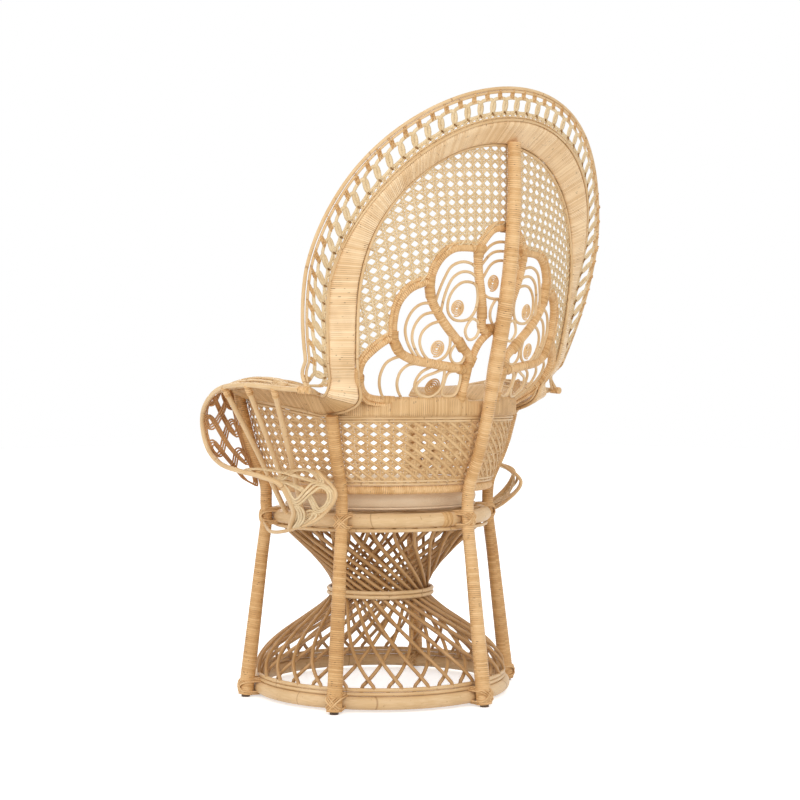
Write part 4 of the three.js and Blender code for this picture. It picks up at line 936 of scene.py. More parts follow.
polePoints = legPath(0, seatRingHeight)
for share in (0, 0.5, 1):
    z = lerp(chair["hoopHeight"], chair["railBottom"], share)
    out = postRadius(0, z, poles["atRail"]) if share < 1 else chair["railRadius"] + poles["railGap"]
    polePoints.append(Vector((0, out, z)))
for share in (0.12, 0.3, 0.5, 0.75, 1):
    z = lerp(chair["railTop"], fan["poleTop"], share)
    polePoints.append(Vector((0, fanDepth(z) + poles["fanGap"] + lerp(*poles["fanStandOff"], share), z)))
standingPole("middlePole", "rear_pole", polePoints, poleThickness, peelWrap)


def postPoints(degrees, low, high, shares):
    heights = [lerp(low, high, share) for share in shares]
    return [polar(postRadius(degrees, z, poles["atSeat"]), degrees, z) for z in heights]


for side, tag in bothSides:
    rear, front = side * chair["rearPostAngle"], side * chair["frontLegAngle"]
    up = postPoints(rear, chair["hoopHeight"], poles["postTop"], (0, 0.2, 0.4, 0.6, 0.8, 1))
    standingPole("rearPost_" + tag, "rear_post_" + tag, legPath(rear, seatRingHeight) + up,
                 legThickness, legPeel)
    up = postPoints(front, poles["frontLegTop"], poles["frontLegTop"], (0,))
    standingPole("frontLeg_" + tag, "front_leg_" + tag, legPath(front, seatRingHeight) + up,
                 legThickness, legPeel)
    up = postPoints(front, poles["armPostFoot"], poles["armPostTop"], (0, 0.17, 0.4, 0.6, 0.8, 1))
    standingPole("armPost_" + tag, "arm_post_" + tag, up, lambda z: poles["atSeat"], legPeel)

# Crossed strips that tie each leg to a ring: closed loops on both diagonals, three strips side by side
lashing = {"shifts": (-4.6, 0, 4.6), "halfWidth": 21, "radius": 2.0, "clear": 1.6, "squareness": 0.6,
            "steps": 40, "baseLift": 4}


def squared(value):
    return math.copysign(abs(value) ** lashing["squareness"], value)


def lashingPaths(degrees, z, ringRadius, ringThickness):
    far, near = legRadius(z) + legThickness(z), ringRadius - ringThickness
    middle = polar((far + near) / 2, degrees, z)
    outward, sideways = polar(1, degrees, 0), polar(1, degrees + 90, 0)
    depth = (far - near) / 2 + lashing["clear"]
    paths = []
    for way in (-1, 1):
        slanted = (Vector((0, 0, 1)) + sideways * way).normalized()
        across = (Vector((0, 0, 1)) - sideways * way).normalized()
        for shift in lashing["shifts"]:
            points = []
            for k in range(lashing["steps"]):
                turn = 2 * math.pi * k / lashing["steps"]
                points.append(middle + outward * depth * squared(math.cos(turn)) + across * shift
                              + slanted * lashing["halfWidth"] * squared(math.sin(turn)))
            paths.append(rodAlong(points, lashing["radius"], True))
    return paths


legPair = (chair["rearPostAngle"], chair["frontLegAngle"])
legAngles = [0] + [side * angle for side in (1, -1) for angle in legPair]
for name, z, ringRadius, ringThickness in (
        ("seatLashings", seatRingHeight, chair["seatRingRadius"], chair["seatPoleRadius"]),
        ("baseLashings", chair["baseRingHeight"] + lashing["baseLift"], chair["baseRingRadius"],
         chair["basePoleRadius"])):
    paths = [path for degrees in legAngles for path in lashingPaths(degrees, z, ringRadius, ringThickness)]
    settle(rods(name, paths, lashingPeel, spacing=4, sides=6), "wrap")
print("legs and posts made")


# The section of a band: shares of its width, and how far out on either face
bandSection = [(0.0, 0.0), (0.02, -0.6), (0.09, -0.95), (0.25, -1.0), (0.5, -0.94), (0.75, -1.0),
               (0.91, -0.95), (0.98, -0.6), (1.0, 0.0), (0.98, 0.6), (0.91, 0.95), (0.75, 1.0),
               (0.5, 0.94), (0.25, 1.0), (0.09, 0.95), (0.02, 0.6)]


def bandPiece(name, start, finish, material, node):
    samples = [lerp(start, finish, i / 600) for i in range(601)]
    middles = [(innerAt(s) + outerAt(s)) / 2 for s in samples]
    lengths = pathLengths(middles)

    def sectionAt(share, ridge):
        step, within = stepAt(lengths, share * lengths[-1])
        spot = lerp(samples[step], samples[step + 1], within)
        inner, normal = innerAt(spot), bandNormal(spot)
        across = outerAt(spot) - inner
        grow = ridge / across.length
        thick = wrapping["bandDepth"] + ridge
        return [inner + across * lerp(-grow, 1 + grow, width) + normal * depth * thick
                for width, depth in bandSection]

    settle(wrappedSkin(name, sectionAt, lengths[-1], material), "wrap", node)


corner, seam = len(arms["angles"]), 0.01  # in spans: where the fan's band meets an arm's, and the gap there
bandPiece("fanBand", corner + seam, bandSpans - corner - seam, bandPeel, "fan_band")
bandPiece("armBand_left", 0, corner - seam, railPeel, "arm_band_left")
bandPiece("armBand_right", bandSpans - corner + seam, bandSpans, railPeel, "arm_band_right")

railSection = [(-1, -0.55), (-0.8, -0.9), (0, -1), (0.8, -0.9), (1, -0.55), (1.06, 0), (1, 0.55), (0.8, 0.9),
               (0, 1), (-0.8, 0.9), (-1, 0.55), (-1.06, 0)]
binding = {"start": 8, "finish": 41, "rise": 4.5, "halfHeight": 21.5, "halfDepth": 9.6}


def railPiece(name, first, last, height, halfHeight, halfDepth, *nodes):
    def sectionAt(share, ridge):
        degrees = lerp(first, last, share)
        return [polar(chair["railRadius"] + out * (halfDepth + ridge), degrees,
                      height + up * (halfHeight + ridge)) for out, up in railSection]

    length = math.radians(last - first) * chair["railRadius"]
    settle(wrappedSkin(name, sectionAt, length, railPeel), "wrap", *nodes)


railPiece("backRail", -chair["rearPostAngle"], chair["rearPostAngle"], railMiddle, wrapping["railHalfHeight"],
          wrapping["railDepth"], "back_rail")
for side, tag in bothSides:  # the thicker wrap that ties the motif to the rail, beside the middle pole
    first, last = sorted((side * binding["start"], side * binding["finish"]))
    railPiece("railBinding_" + tag, first, last, railMiddle + binding["rise"], binding["halfHeight"],
              binding["halfDepth"])
print("bands and rail made")


# One family of strips for each direction of six-way cane. The grid gives the place on a surface for a
# column and a row, the normal gives its outside, and inside says where the cane is.
def weave(columns, rows, gridAt, normalAt, inside, gap, lift):
    families = {"upright": [], "level": [], "slanted": []}

    def run(kind, steps, column, row, height, tint):
        spots = [(column(t), row(t), height(t)) for t in steps]
        flags = [inside(*spot[:2]) for spot in spots]
        current = []

        def edge(good, bad):
            a, b = good, bad
            for _ in range(6):
                middle = tuple((x + y) / 2 for x, y in zip(a, b))
                if inside(*middle[:2]):
                    a = middle
                else:
                    b = middle
            return a

        def close():
            if len(current) > 1:
                normals = [normalAt(c, r) for c, r, _ in current]
                laid = [gridAt(c, r) + normal * high for (c, r, high), normal in zip(current, normals)]
                families[kind].append({"points": laid, "outward": normals, "tint": tint})
            current.clear()

        for i, spot in enumerate(spots):
            if flags[i]:
                if not current and i > 0:
                    current.append(edge(spot, spots[i - 1]))
                current.append(spot)
            elif current:
                current.append(edge(spots[i - 1], spot))
                close()
        close()

    for i in range(columns[0], columns[1] + 1):
        for side in (-1, 1):
            steps = [j / 2 for j in range(2 * rows[0], 2 * rows[1] + 1)]
            run("upright", steps, lambda t, i=i, side=side: i + side * gap, lambda t: t,
                lambda t, side=side: lift * side * math.cos(math.pi * t), chance(i, side, 1))
    for j in range(rows[0], rows[1] + 1):
        for side in (-1, 1):
            steps = [i / 2 for i in range(2 * columns[0], 2 * columns[1] + 1)]
            run("level", steps, lambda t: t, lambda t, j=j, side=side: j + side * gap,
                lambda t, side=side: -lift * side * math.cos(math.pi * t), chance(j, side, 2))
    span = columns[1] - columns[0] + rows[1] - rows[0]
    for k in range(-span, span + 1):
        for way in (-1, 1):
            steps = [i / 2 for i in range(2 * columns[0], 2 * columns[1] + 1)]
            offset = k + 0.5
            run("slanted", [t for t in steps if rows[0] <= way * t + offset <= rows[1]],
                lambda t: t, lambda t, way=way, offset=offset: way * t + offset,
                lambda t, way=way: 1.5 * lift * way, chance(k, way, 3))
    return families


def wovenPieces(name, families, material, sizes, node):  # the upright strips stand for the solid
    for kind in ("upright", "level", "slanted"):
        piece = strips(name + "_" + kind, families[kind], material, sizes[kind + "Width"], sizes["thickness"])
        settle(piece, "cane", *([node] if kind == "upright" else []))


fanCane = {"columnPitch": 27, "rowPitch": 19.5, "fanOut": -200, "drop": 0.00042, "top": 1240, "gap": 0.095,
           "back": -2.5, "belowRail": 6, "underBand": 4, "lift": 0.7,
           "uprightWidth": 3.6, "levelWidth": 2.7, "slantedWidth": 3.6, "thickness": 0.9}


def fanGrid(column, row):  # x and z in the plane of the fan, with rows that arch and columns that spread
    z0 = fanCane["top"] - row * fanCane["rowPitch"]
    spread = (z0 - fanCane["fanOut"]) / (fanCane["top"] - fanCane["fanOut"])
    x = column * fanCane["columnPitch"] * spread
    return x, z0 - fanCane["drop"] * x * x


# Rods of the scroll motif, in shares of the opening's half width and of its rise above the rail
motifShares = {
    "topLobe": [(-0.2153, 0.5862), (-0.0996, 0.6607), (0, 0.6713), (0.0996, 0.6607), (0.2153, 0.5862)],
    "upperLobe": [(0.2153, 0.5862), (0.397, 0.5791), (0.4763, 0.5505), (0.5269, 0.5061), (0.5524, 0.4547)],
    "middleLobe": [(0.5524, 0.4547), (0.6795, 0.4193), (0.7422, 0.3642), (0.7535, 0.2965), (0.7422, 0.245)],
    "lowerLobe": [(0.7422, 0.245), (0.835, 0.2), (0.893, 0.15), (0.887, 0.11), (0.853, 0.078), (0.788, 0.04),
                  (0.7, 0.012), (0.6, 0.002), (0.45, -0.002)],
    "trunk": [(0.1669, -0.009), (0.1669, 0.0781), (0.1756, 0.1686), (0.2543, 0.2133)],
    "branch": [(0.2543, 0.2133), (0.4387, 0.3125), (0.5382, 0.396), (0.5524, 0.4547)],
    "shoulder": [(0, 0.2807), (0.0963, 0.2771), (0.1332, 0.3729), (0.204, 0.5134), (0.2153, 0.5862)],
    "arch": [(0.1669, 0.1145), (0.1076, 0.2237), (0, 0.2807)],
    "side": [(0.1756, 0.1208), (0.4535, 0.1422), (0.609, 0.1599), (0.7078, 0.1953), (0.7422, 0.245)],
}
motifLobes = ("topLobe", "upperLobe", "middleLobe", "lowerLobe")
motif = {"back": -7, "stem": 10.2, "lobe": 8.4, "edge": 4.2, "edgeGap": 11.5, "edgeBack": 2.5, "reed": 3.3,
         "coilReed": 1.8, "coilRadius": 20, "coilTurns": 3.8, "stepsPerTurn": 20,
         "footHalf": 180, "footDrop": 20}


def motifSpot(share):
    return chair["fanBandInner"] * share[0], chair["railTop"] + openingRise * share[1]


def motifPath(shares, closed=False):
    return smoothPath([fanPoint(*motifSpot(share), motif["back"]) for share in shares], 4, closed)


lobeOutline = []
for lobe in motifLobes:
    path = motifPath(motifShares[lobe])
    lobeOutline += path[len(path) // 2:] if lobe == "topLobe" else path
lobeSpots = [(point.x, point.z) for point in lobeOutline]
lobeSpots += [(x, chair["railTop"] - motif["footDrop"]) for x in (motif["footHalf"], 0)]


def withinPolygon(x, z, corners):
    inside = False
    for (x1, z1), (x2, z2) in zip(corners, corners[1:] + corners[:1]):
        if (z1 > z) != (z2 > z) and x < (x2 - x1) * (z - z1) / (z2 - z1) + x1:
            inside = not inside
    return inside


def caneInFan(column, row):
    x, z = fanGrid(column, row)
    if z < chair["railTop"] - fanCane["belowRail"]:
        return False
    rise = chair["fanOpeningTop"] - bandCentre if z > bandCentre else rimBelow
    halfWidth, halfRise = chair["fanBandInner"] + fanCane["underBand"], rise + fanCane["underBand"]
    if (x / halfWidth) ** 2 + ((z - bandCentre) / halfRise) ** 2 > 1:
        return False
    return not withinPolygon(abs(x), z, lobeSpots)


fanFamilies = weave((-18, 18), (0, 30), lambda c, r: fanPoint(*fanGrid(c, r), fanCane["back"]),
                    lambda c, r: fanNormal(*fanGrid(c, r)), caneInFan, fanCane["gap"], fanCane["lift"])
wovenPieces("fanCane", fanFamilies, fanWeave, fanCane, "fan_cane")

wallCane = {"columnAngle": 5.35, "rowPitch": 18.5, "gap": 0.1, "lift": 0.7, "reach": 120.5, "foot": 496,
            "uprightWidth": 4.3, "levelWidth": 3.3, "slantedWidth": 6.6, "thickness": 0.9}


def wallGrid(column, row):
    degrees = (column + 0.5) * wallCane["columnAngle"]
    return degrees, wallCane["foot"] + (row + 0.5) * wallCane["rowPitch"]


def wallSpot(column, row):
    degrees, z = wallGrid(column, row)
    return polar(wallRadius(degrees, z), degrees, z)


def wallOut(column, row):
    sideways = wallSpot(column + 0.1, row) - wallSpot(column - 0.1, row)
    upwards = wallSpot(column, row + 0.1) - wallSpot(column, row - 0.1)
    return upwards.cross(sideways).normalized()


def caneInWall(column, row):
    degrees, z = wallGrid(column, row)
    return abs(degrees) < wallCane["reach"] and wallCane["foot"] < z < wallTop(degrees)[1] + 1


wallFamilies = weave((-24, 24), (-1, 12), wallSpot, wallOut, caneInWall, wallCane["gap"], wallCane["lift"])
wovenPieces("wallCane", wallFamilies, wallWeave, wallCane, "wall_cane")

wallStations = [lerp(-wallCane["reach"], wallCane["reach"], i / 120) for i in range(121)]
wallHoop = [polar(chair["hoopRadius"], degrees, chair["hoopHeight"]) for degrees in wallStations]
settle(wrappedRods("wallHoop", [rodAlong(wallHoop, chair["hoopPoleRadius"])], 14), "wrap", "wall_hoop")
# Thin rods that cover the ends of the cane, the lower ones by height, step outwards and radius
trims = {"lower": ((495.8, 0.5, 3), (502.6, 1.5, 2.4)), "topRise": (0, -6.2, 4.5), "topRadius": (3, 2.4, 2.2)}
lowerTrim, topTrim = [], []
for z, out, radius in trims["lower"]:
    points = [polar(wallRadius(degrees, z) + out, degrees, z) for degrees in wallStations]
    lowerTrim.append(rodAlong(points, radius))
for up, radius in zip(trims["topRise"], trims["topRadius"]):
    points = [polar(wallTop(degrees)[0] + 1, degrees, wallTop(degrees)[1] + up) for degrees in wallStations]
    topTrim.append(rodAlong(points, radius))
settle(rods("lowerTrim", lowerTrim, thinReed, spacing=8), "pole", "wall_lower_trim")
settle(rods("topTrim", topTrim, thinReed), "pole", "wall_top_trim")
print("cane woven")


rims = {"outer": {"inset": 4, "radius": 3.9}, "inner": {"inset": 11.2, "radius": 3.1},
        "footAngle": 65, "footDraw": 1.5, "footRise": 4}
rimEndAngle = -math.degrees(math.asin((rimCentre - arms["rimTop"]) / rimBelow))


def stationAngle(along):
    spot = clamp(along) * (len(fanAngles) - 1)
    index = min(int(spot), len(fanAngles) - 2)
    return lerp(fanAngles[index], fanAngles[index + 1], spot - index)


def rimPath(inset):  # from the rim of one arm, over the top, to the rim of the other
    height = lerp(chair["seatTop"], arms["rimTop"], arms["rimEnd"]) + rims["footRise"]
    out = arms["reach"] - rims["footDraw"] * inset
    feet = [polar(out, side * rims["footAngle"], height) for side in (1, -1)]
    angles = [rimEndAngle] + [stationAngle(i / 240) for i in range(6, 235)] + [180 - rimEndAngle]
    over = [rimPoint(angle, inset) for angle in angles]
    return smoothPath([feet[0]] + over + [feet[1]], 8)


for name in ("outer", "inner"):
    rim = rodAlong(rimPath(rims[name]["inset"]), rims[name]["radius"])
    settle(rods(name + "Rim", [rim], thinReed, spacing=9, sides=12), "pole", "fan_rim_" + name)

# Across the border, 0 is the band's outer edge and 1 is just inside the rim
border = {"loops": 52, "firstSpan": 5.62, "footAngle": 3.5, "footShare": 0.05, "edge": 14.5,
          "halfLength": 0.66, "low": 0.25, "high": 0.84, "stripWidth": 7.6, "stripThickness": 1.5,
          "lift": 1.1, "rise": 0.4, "squareness": 0.05, "steps": 24}
crosses = {"middle": 0.14, "swing": 0.1, "lift": 0.9, "steps": 8, "stripWidth": 4.2, "stripThickness": 1.1,
           "ties": ((0, 0.25), (0.22, 0.17), (0.3, 0.02)), "tieLift": 1.1}
knotting = {"shifts": (-3.4, 0.4, 4.2), "lean": 2.4, "low": (0.76, 0.05), "middle": 0.9, "top": (1.0, 0.16),
            "radius": (1.8, 0.5), "lift": 1.2, "joinHalf": 2.5, "joins": (0.33, 0.28, 0.22), "joinLift": 1.4,
            "joinRadius": 2}
borderRodSizes = {"shares": (0.035, 0.12), "radii": (2.3, 1.8), "lift": 1.5, "steps": 240}


def borderAt(along, across):
    lastSpan = bandSpans - border["firstSpan"]
    inner = outerAt(lerp(border["firstSpan"], lastSpan, clamp(along)))
    further = border["footAngle"] * (clamp(along / border["footShare"] - 1, -1, 0)
                                     + clamp((along - 1) / border["footShare"] + 1))
    return inner.lerp(rimPoint(stationAngle(along) + further, border["edge"]), across)


def borderNormal(along, across):
    along = clamp(along, 0.003, 0.997)
    sideways = borderAt(along + 0.002, across) - borderAt(along - 0.002, across)
    upwards = borderAt(along, across + 0.02) - borderAt(along, across - 0.02)
    return sideways.cross(upwards).normalized()


evenAlong = [i / 800 for i in range(801)]
borderLengths = pathLengths([borderAt(along, 0.5) for along in evenAlong])


def alongAt(distance):
    step, share = stepAt(borderLengths, distance)
    return lerp(evenAlong[step], evenAlong[step + 1], share)


pitch = borderLengths[-1] / border["loops"]


def borderPath(spots, lift, closed=False):  # spots are distances along the border and shares across it
    points, normals = [], []
    for k, (distance, across) in enumerate(spots):
        along = alongAt(clamp(distance, 0, borderLengths[-1]))
        normal = borderNormal(along, across)
        points.append(borderAt(along, across) + normal * lift(k / len(spots)))
        normals.append(normal)
    return {"points": points, "outward": normals, "closed": closed}


links = []
borderMiddle, borderHalf = (border["low"] + border["high"]) / 2, (border["high"] - border["low"]) / 2
for i in range(border["loops"]):
    middle = (i + 0.5) * pitch
    spots = []
    for k in range(border["steps"]):
        turn = 2 * math.pi * k / border["steps"]
        fullness = 1 - border["squareness"] * math.cos(4 * turn)
        spots.append((middle + border["halfLength"] * pitch * math.cos(turn) * fullness,
                      borderMiddle + borderHalf * math.sin(turn) * fullness))
    links.append(borderPath(spots, lambda share:
                            border["lift"] * math.sin(2 * math.pi * share) + border["rise"], True))
borderLinks = strips("borderLinks", links, fanWeave, border["stripWidth"], border["stripThickness"])
settle(borderLinks, "cane", "fan_border")

# Between the chain and the band: strips that wave past each other, and ties from loop to loop
waves = []
for way, phase in ((-1, 0.0), (1, 0.0), (-1, 0.5), (1, 0.5)):
    spots = []
    for k in range(border["loops"] * crosses["steps"] + 1):
        distance = k * pitch / crosses["steps"]
        swing = math.cos(2 * math.pi * (distance / pitch + phase))
        spots.append((distance, crosses["middle"] + way * crosses["swing"] * swing))
    waves.append(borderPath(spots, lambda share, way=way:
                            way * crosses["lift"] * math.cos(math.pi * share * border["loops"] * 2)))
for i in range(border["loops"]):
    for way in (-1, 1):
        spots = [((i + 0.5 + way * out) * pitch, across) for out, across in crosses["ties"]]
        waves.append(borderPath(spots, lambda share, way=way: crosses["tieLift"] * way))
settle(strips("borderCrosses", waves, fanWeave, crosses["stripWidth"], crosses["stripThickness"]), "cane")

knots = []
for i in range(border["loops"]):
    middle = (i + 0.5) * pitch
    for shift in knotting["shifts"]:
        lean = knotting["lean"] * (chance(i, shift, 8) - 0.5)
        low = knotting["low"][0] + knotting["low"][1] * chance(i, shift, 9)
        top = knotting["top"][0] + knotting["top"][1] * chance(i, shift, 6)
        spot = middle + shift
        spots = [(spot - lean, low), (spot, knotting["middle"]), (spot + lean, top)]
        radius = knotting["radius"][0] + knotting["radius"][1] * chance(i, shift, 7)
        knots.append(rodAlong(borderPath(spots, lambda share: knotting["lift"])["points"], radius))
    for way in (-1, 1):
        spot = middle + way * 0.5 * pitch
        spots = [(spot + (k - 1) * knotting["joinHalf"], across)
                 for k, across in enumerate(knotting["joins"])]
        path = borderPath(spots, lambda share: knotting["joinLift"])
        knots.append(rodAlong(path["points"], knotting["joinRadius"]))
settle(rods("borderKnots", knots, bindingPeel, spacing=1.2, sides=8, turnWidth=3, turnHeight=0.8), "wrap")
borderRods = []
for share, radius in zip(borderRodSizes["shares"], borderRodSizes["radii"]):
    points = []
    for i in range(borderRodSizes["steps"] + 1):
        along = i / borderRodSizes["steps"]
        points.append(borderAt(along, share) + borderNormal(along, share) * borderRodSizes["lift"])
    borderRods.append(rodAlong(points, radius))
settle(rods("borderRods", borderRods, thinReed, spacing=9), "pole")


# Thin rods along the band's edges: how far in from its inner edge or out from its outer one, how far
# back from its face, and the radius
edgeRods = ((-4.6, 3.5, 3.6), (-4.6, -4.5, 3.2), (3.2, 3.0, 2.4))


def bandRod(offset, back):
    points = []
    for i in range(421):
        spot = lerp(0.0, bandSpans, i / 420)
        inner, outer, normal = innerAt(spot), outerAt(spot), bandNormal(spot)
        across = (outer - inner).normalized()
        points.append((inner if offset < 0 else outer) + across * offset - normal * back)
    return points


alongBand = [rodAlong(bandRod(offset, back), radius) for offset, back, radius in edgeRods]
settle(rods("bandEdgeRods", alongBand, thinReed, spacing=9, sides=10), "pole")
print("border and rims made")


frameRods = []
for name, shares in motifShares.items():
    radius = motif["stem"] if name in ("trunk", "branch", "shoulder", "side") else motif["lobe"]
    rod = rodAlong(motifPath(shares), radius)
    frameRods += [rod] if name == "topLobe" else [rod, mirrored(rod)]
for name in motifLobes:  # a thinner rod hugs the outside of each lobe
    path = motifPath(motifShares[name])
    hugging = []
    for i, point in enumerate(path):
        ahead = (path[min(i + 1, len(path) - 1)] - path[max(i - 1, 0)]).normalized()
        out = Vector((0, -1, 0)).cross(ahead).normalized()
        hugging.append(point + out * motif["edgeGap"] + Vector((0, motif["edgeBack"], 0)))
    rod = rodAlong(hugging, motif["edge"])
    frameRods += [rod] if name == "topLobe" else [rod, mirrored(rod)]
settle(wrappedRods("motifFrame", frameRods, 12), "wrap", "motif_frame")

# Bindings where the rods of the motif meet: the ends of a short path, and its radius
bindings = [
    ((0.17, 0.585), (0.25, 0.584), 10), ((0.209, 0.55), (0.215, 0.595), 11.6),
    ((0.552, 0.43), (0.552, 0.475), 10.8), ((0.535, 0.39), (0.553, 0.43), 11.4),
    ((0.738, 0.23), (0.745, 0.262), 10.8), ((0.69, 0.185), (0.735, 0.225), 11.4),
    ((0.235, 0.2), (0.285, 0.232), 12), ((0.172, 0.085), (0.175, 0.15), 11.8),
    ((0.19, 0.121), (0.24, 0.123), 11.4), ((0.155, 0.135), (0.135, 0.172), 9.6),
    ((0.167, 0.0), (0.167, 0.035), 12.4), ((0.02, 0.281), (0.07, 0.279), 11.4),
    ((0.116, 0.32), (0.133, 0.365), 11.6), ((0.87, 0.095), (0.852, 0.077), 9.8),
    ((0.62, 0.003), (0.56, 0.001), 9.8), ((0.0, 0.655), (0.0, 0.685), 9.0)]
cuffs = []
for start, finish, radius in bindings:
    cuff = rodAlong(motifPath([start, finish]), radius)
    cuffs += [cuff, mirrored(cuff)]
settle(rods("motifBindings", cuffs, bindingPeel, spacing=1.1, sides=14, turnWidth=3.6, turnHeight=0.9),
       "wrap")

# Thin reeds in the lobes: open arcs, and closed loops round the coils
arcs = {
    "top": [[(-0.2, 0.55), (-0.1, 0.605), (0, 0.618), (0.1, 0.605), (0.2, 0.55)],
            [(-0.19, 0.515), (-0.1, 0.57), (0, 0.582), (0.1, 0.57), (0.19, 0.515)],
            [(-0.16, 0.47), (-0.09, 0.53), (0, 0.546), (0.09, 0.53), (0.16, 0.47)]],
    "upper": [[(0.2, 0.5), (0.256, 0.524), (0.338, 0.53), (0.416, 0.509), (0.456, 0.465), (0.482, 0.42),
               (0.5, 0.372)],
              [(0.195, 0.47), (0.259, 0.491), (0.33, 0.492), (0.393, 0.469), (0.425, 0.432), (0.442, 0.39),
               (0.452, 0.33)]],
    "middle": [[(0.5, 0.36), (0.561, 0.37), (0.618, 0.357), (0.66, 0.323), (0.676, 0.275), (0.656, 0.232),
                (0.615, 0.192), (0.57, 0.163)],
               [(0.46, 0.33), (0.517, 0.334), (0.575, 0.322), (0.616, 0.285), (0.623, 0.242), (0.597, 0.204),
                (0.545, 0.166), (0.495, 0.152)]],
    "lower": [[(0.63, 0.17), (0.696, 0.165), (0.751, 0.145), (0.762, 0.107), (0.738, 0.069), (0.678, 0.03),
               (0.618, 0.005)],
              [(0.545, 0.142), (0.61, 0.136), (0.645, 0.112), (0.64, 0.074), (0.602, 0.04), (0.53, 0.005)],
              [(0.45, 0.13), (0.509, 0.108), (0.526, 0.074), (0.501, 0.04), (0.432, 0.01)]],
}
loops = {
    "upperEgg": [(0.203, 0.443), (0.25, 0.455), (0.321, 0.452), (0.378, 0.424), (0.406, 0.385),
                 (0.399, 0.341), (0.352, 0.313), (0.285, 0.307), (0.221, 0.318), (0.184, 0.35), (0.178, 0.4)],
    "middleEgg": [(0.421, 0.302), (0.471, 0.299), (0.521, 0.286), (0.561, 0.257), (0.566, 0.223),
                  (0.535, 0.185), (0.479, 0.156), (0.422, 0.152), (0.363, 0.172),
                   (0.343, 0.211), (0.364, 0.259)],
    "lowerLeaf": [(0.352, 0.118), (0.42, 0.106), (0.481, 0.089), (0.507, 0.054), (0.443, 0.02),
                  (0.377, 0.018), (0.342, 0.045), (0.338, 0.089)],
    "innerRing": [(0.199, 0.316), (0.242, 0.271), (0.2, 0.236), (0.14, 0.25), (0.13, 0.295)],
    "lowerBox": [(0.31, 0.108), (0.222, 0.108), (0.205, 0.065), (0.222, 0.022), (0.31, 0.022),
                 (0.325, 0.065)],
    "lowRing": [(0.291, 0.219), (0.33, 0.18), (0.289, 0.146), (0.224, 0.15), (0.215, 0.2)],
    "topRing": [(0, 0.398), (0.046, 0.363), (0.046, 0.328), (0, 0.297), (-0.046, 0.328), (-0.046, 0.363)],
}
coils = {"top": (0.06, 0.458), "upper": (0.332, 0.355), "middle": (0.435, 0.2), "lower": (0.402, 0.055)}
topBar = [(-0.17, 0.425), (-0.08, 0.4), (0, 0.397), (0.08, 0.4), (0.17, 0.425)]

for name, spot in coils.items():
    x, z = motifSpot(spot)
    reeds = [rodAlong(motifPath(arc), motif["reed"]) for arc in arcs[name]]
    for label, loop in loops.items():
        if label.startswith(name) or (name == "middle" and label in ("innerRing", "lowRing")):
            reeds.append(rodAlong(motifPath(loop, closed=True), motif["reed"], True))
    spiral = []
    for k in range(int(motif["coilTurns"] * motif["stepsPerTurn"]) + 1):
        turns = k / motif["stepsPerTurn"]
        size = lerp(motif["coilReed"], motif["coilRadius"] - motif["coilReed"], turns / motif["coilTurns"])
        turn = 2 * math.pi * turns
        spiral.append(fanPoint(x + size * math.cos(turn), z + size * math.sin(turn), motif["back"]))
    coil = rodAlong(spiral, motif["coilReed"])
    pair = [coil] if name == "top" else [coil, mirrored(coil)]
    # the lowest coils take the darker copy of the coil reed, which is painted shade
    settle(rods(name + "Coils", pair, paintedShadeCoilReed if name == "lower" else coilReed, spacing=1.6), "cane")
    if name == "top":
        reeds.append(rodAlong(motifPath(topBar), motif["reed"]))
        settle(rods("topScroll", reeds, thinReed, spacing=3), "cane", "motif_scroll_top")
    else:
        settle(rods(name + "Scroll_left", reeds, thinReed, spacing=3), "cane", "motif_scroll_left_" + name)
        turnedReeds = [mirrored(reed) for reed in reeds]
        settle(rods(name + "Scroll_right", turnedReeds, thinReed, spacing=3),
               "cane", "motif_scroll_right_" + name)
print("motif made")


# Places along a rim: shares of its reach, degrees from the back, and shares of its height over the seat
armRimShares = [(1, 64, arms["rimEnd"]), (0.953, 76, 0.9055), (0.942, 86, 0.925), (0.921, 101, 0.8992),
                (0.91, 115, 0.7599), (0.9, 121, 0.6255), (0.878, 121, 0.4695), (0.857, 110, 0.3549),
                (0.857, 97, 0.3127), (0.857, 86, 0.2798), (0.856, 78, 0.227), (0.814, 77, 0.131),
                (0.749, 78, 0.0325), (0.675, 85, -0.1043)]
lowerRimShares = [(0.832, 76, 1), (0.93, 68, 0.814), (1, 61, 0.468), (0.927, 68.5, -0.019), (0.88, 85, -0.33),
                  (0.845, 100, -0.42), (0.79, 117, -0.28)]
armRods = {"rim": 5.5, "lowerRim": 4, "lowerReach": 356, "lowerTop": 537, "rib": 6, "ribCuff": 7.6,
           "rimCuff": 8.2, "ribFoot": (253, 422), "ribBow": 6, "topReed": 2.6, "topReedRise": 2,
           "topReedShares": (0.12, 0.34, 0.56, 0.78), "topReedSteps": 60}
# The degrees of each rib's foot, and where its head is along the arm's rim
ribs = {"rear": (88.7, 0.1), "middle": (95.3, 0.181), "front": (102.6, 0.275)}
armKnots = {"cells": 8, "onTop": 4, "reeds": 3, "spacing": 4.7, "lift": 4, "wide": 0.74, "tall": 0.45,
            "radius": 2.2}
dishKnots = {"cells": 3, "reeds": 3, "spacing": 5.4, "lift": 3, "wide": 0.44, "tall": 0.44,
             "stripWidth": 5.2, "stripThickness": 1.8}


def armPath(shares, reach, top):
    return smoothPath([polar(reach * out, degrees, lerp(chair["seatTop"], top, height))
                       for out, degrees, height in shares], 4)


armRimPath = armPath(armRimShares, arms["reach"], arms["rimTop"])
lowerRimPath = armPath(lowerRimShares, armRods["lowerReach"], armRods["lowerTop"])
armRimLengths, lowerRimLengths = pathLengths(armRimPath), pathLengths(lowerRimPath)


def armRimAt(share):
    return pathAt(armRimPath, armRimLengths, clamp(share) * armRimLengths[-1])


def lowerRimAt(share):
    return pathAt(lowerRimPath, lowerRimLengths, clamp(share) * lowerRimLengths[-1])


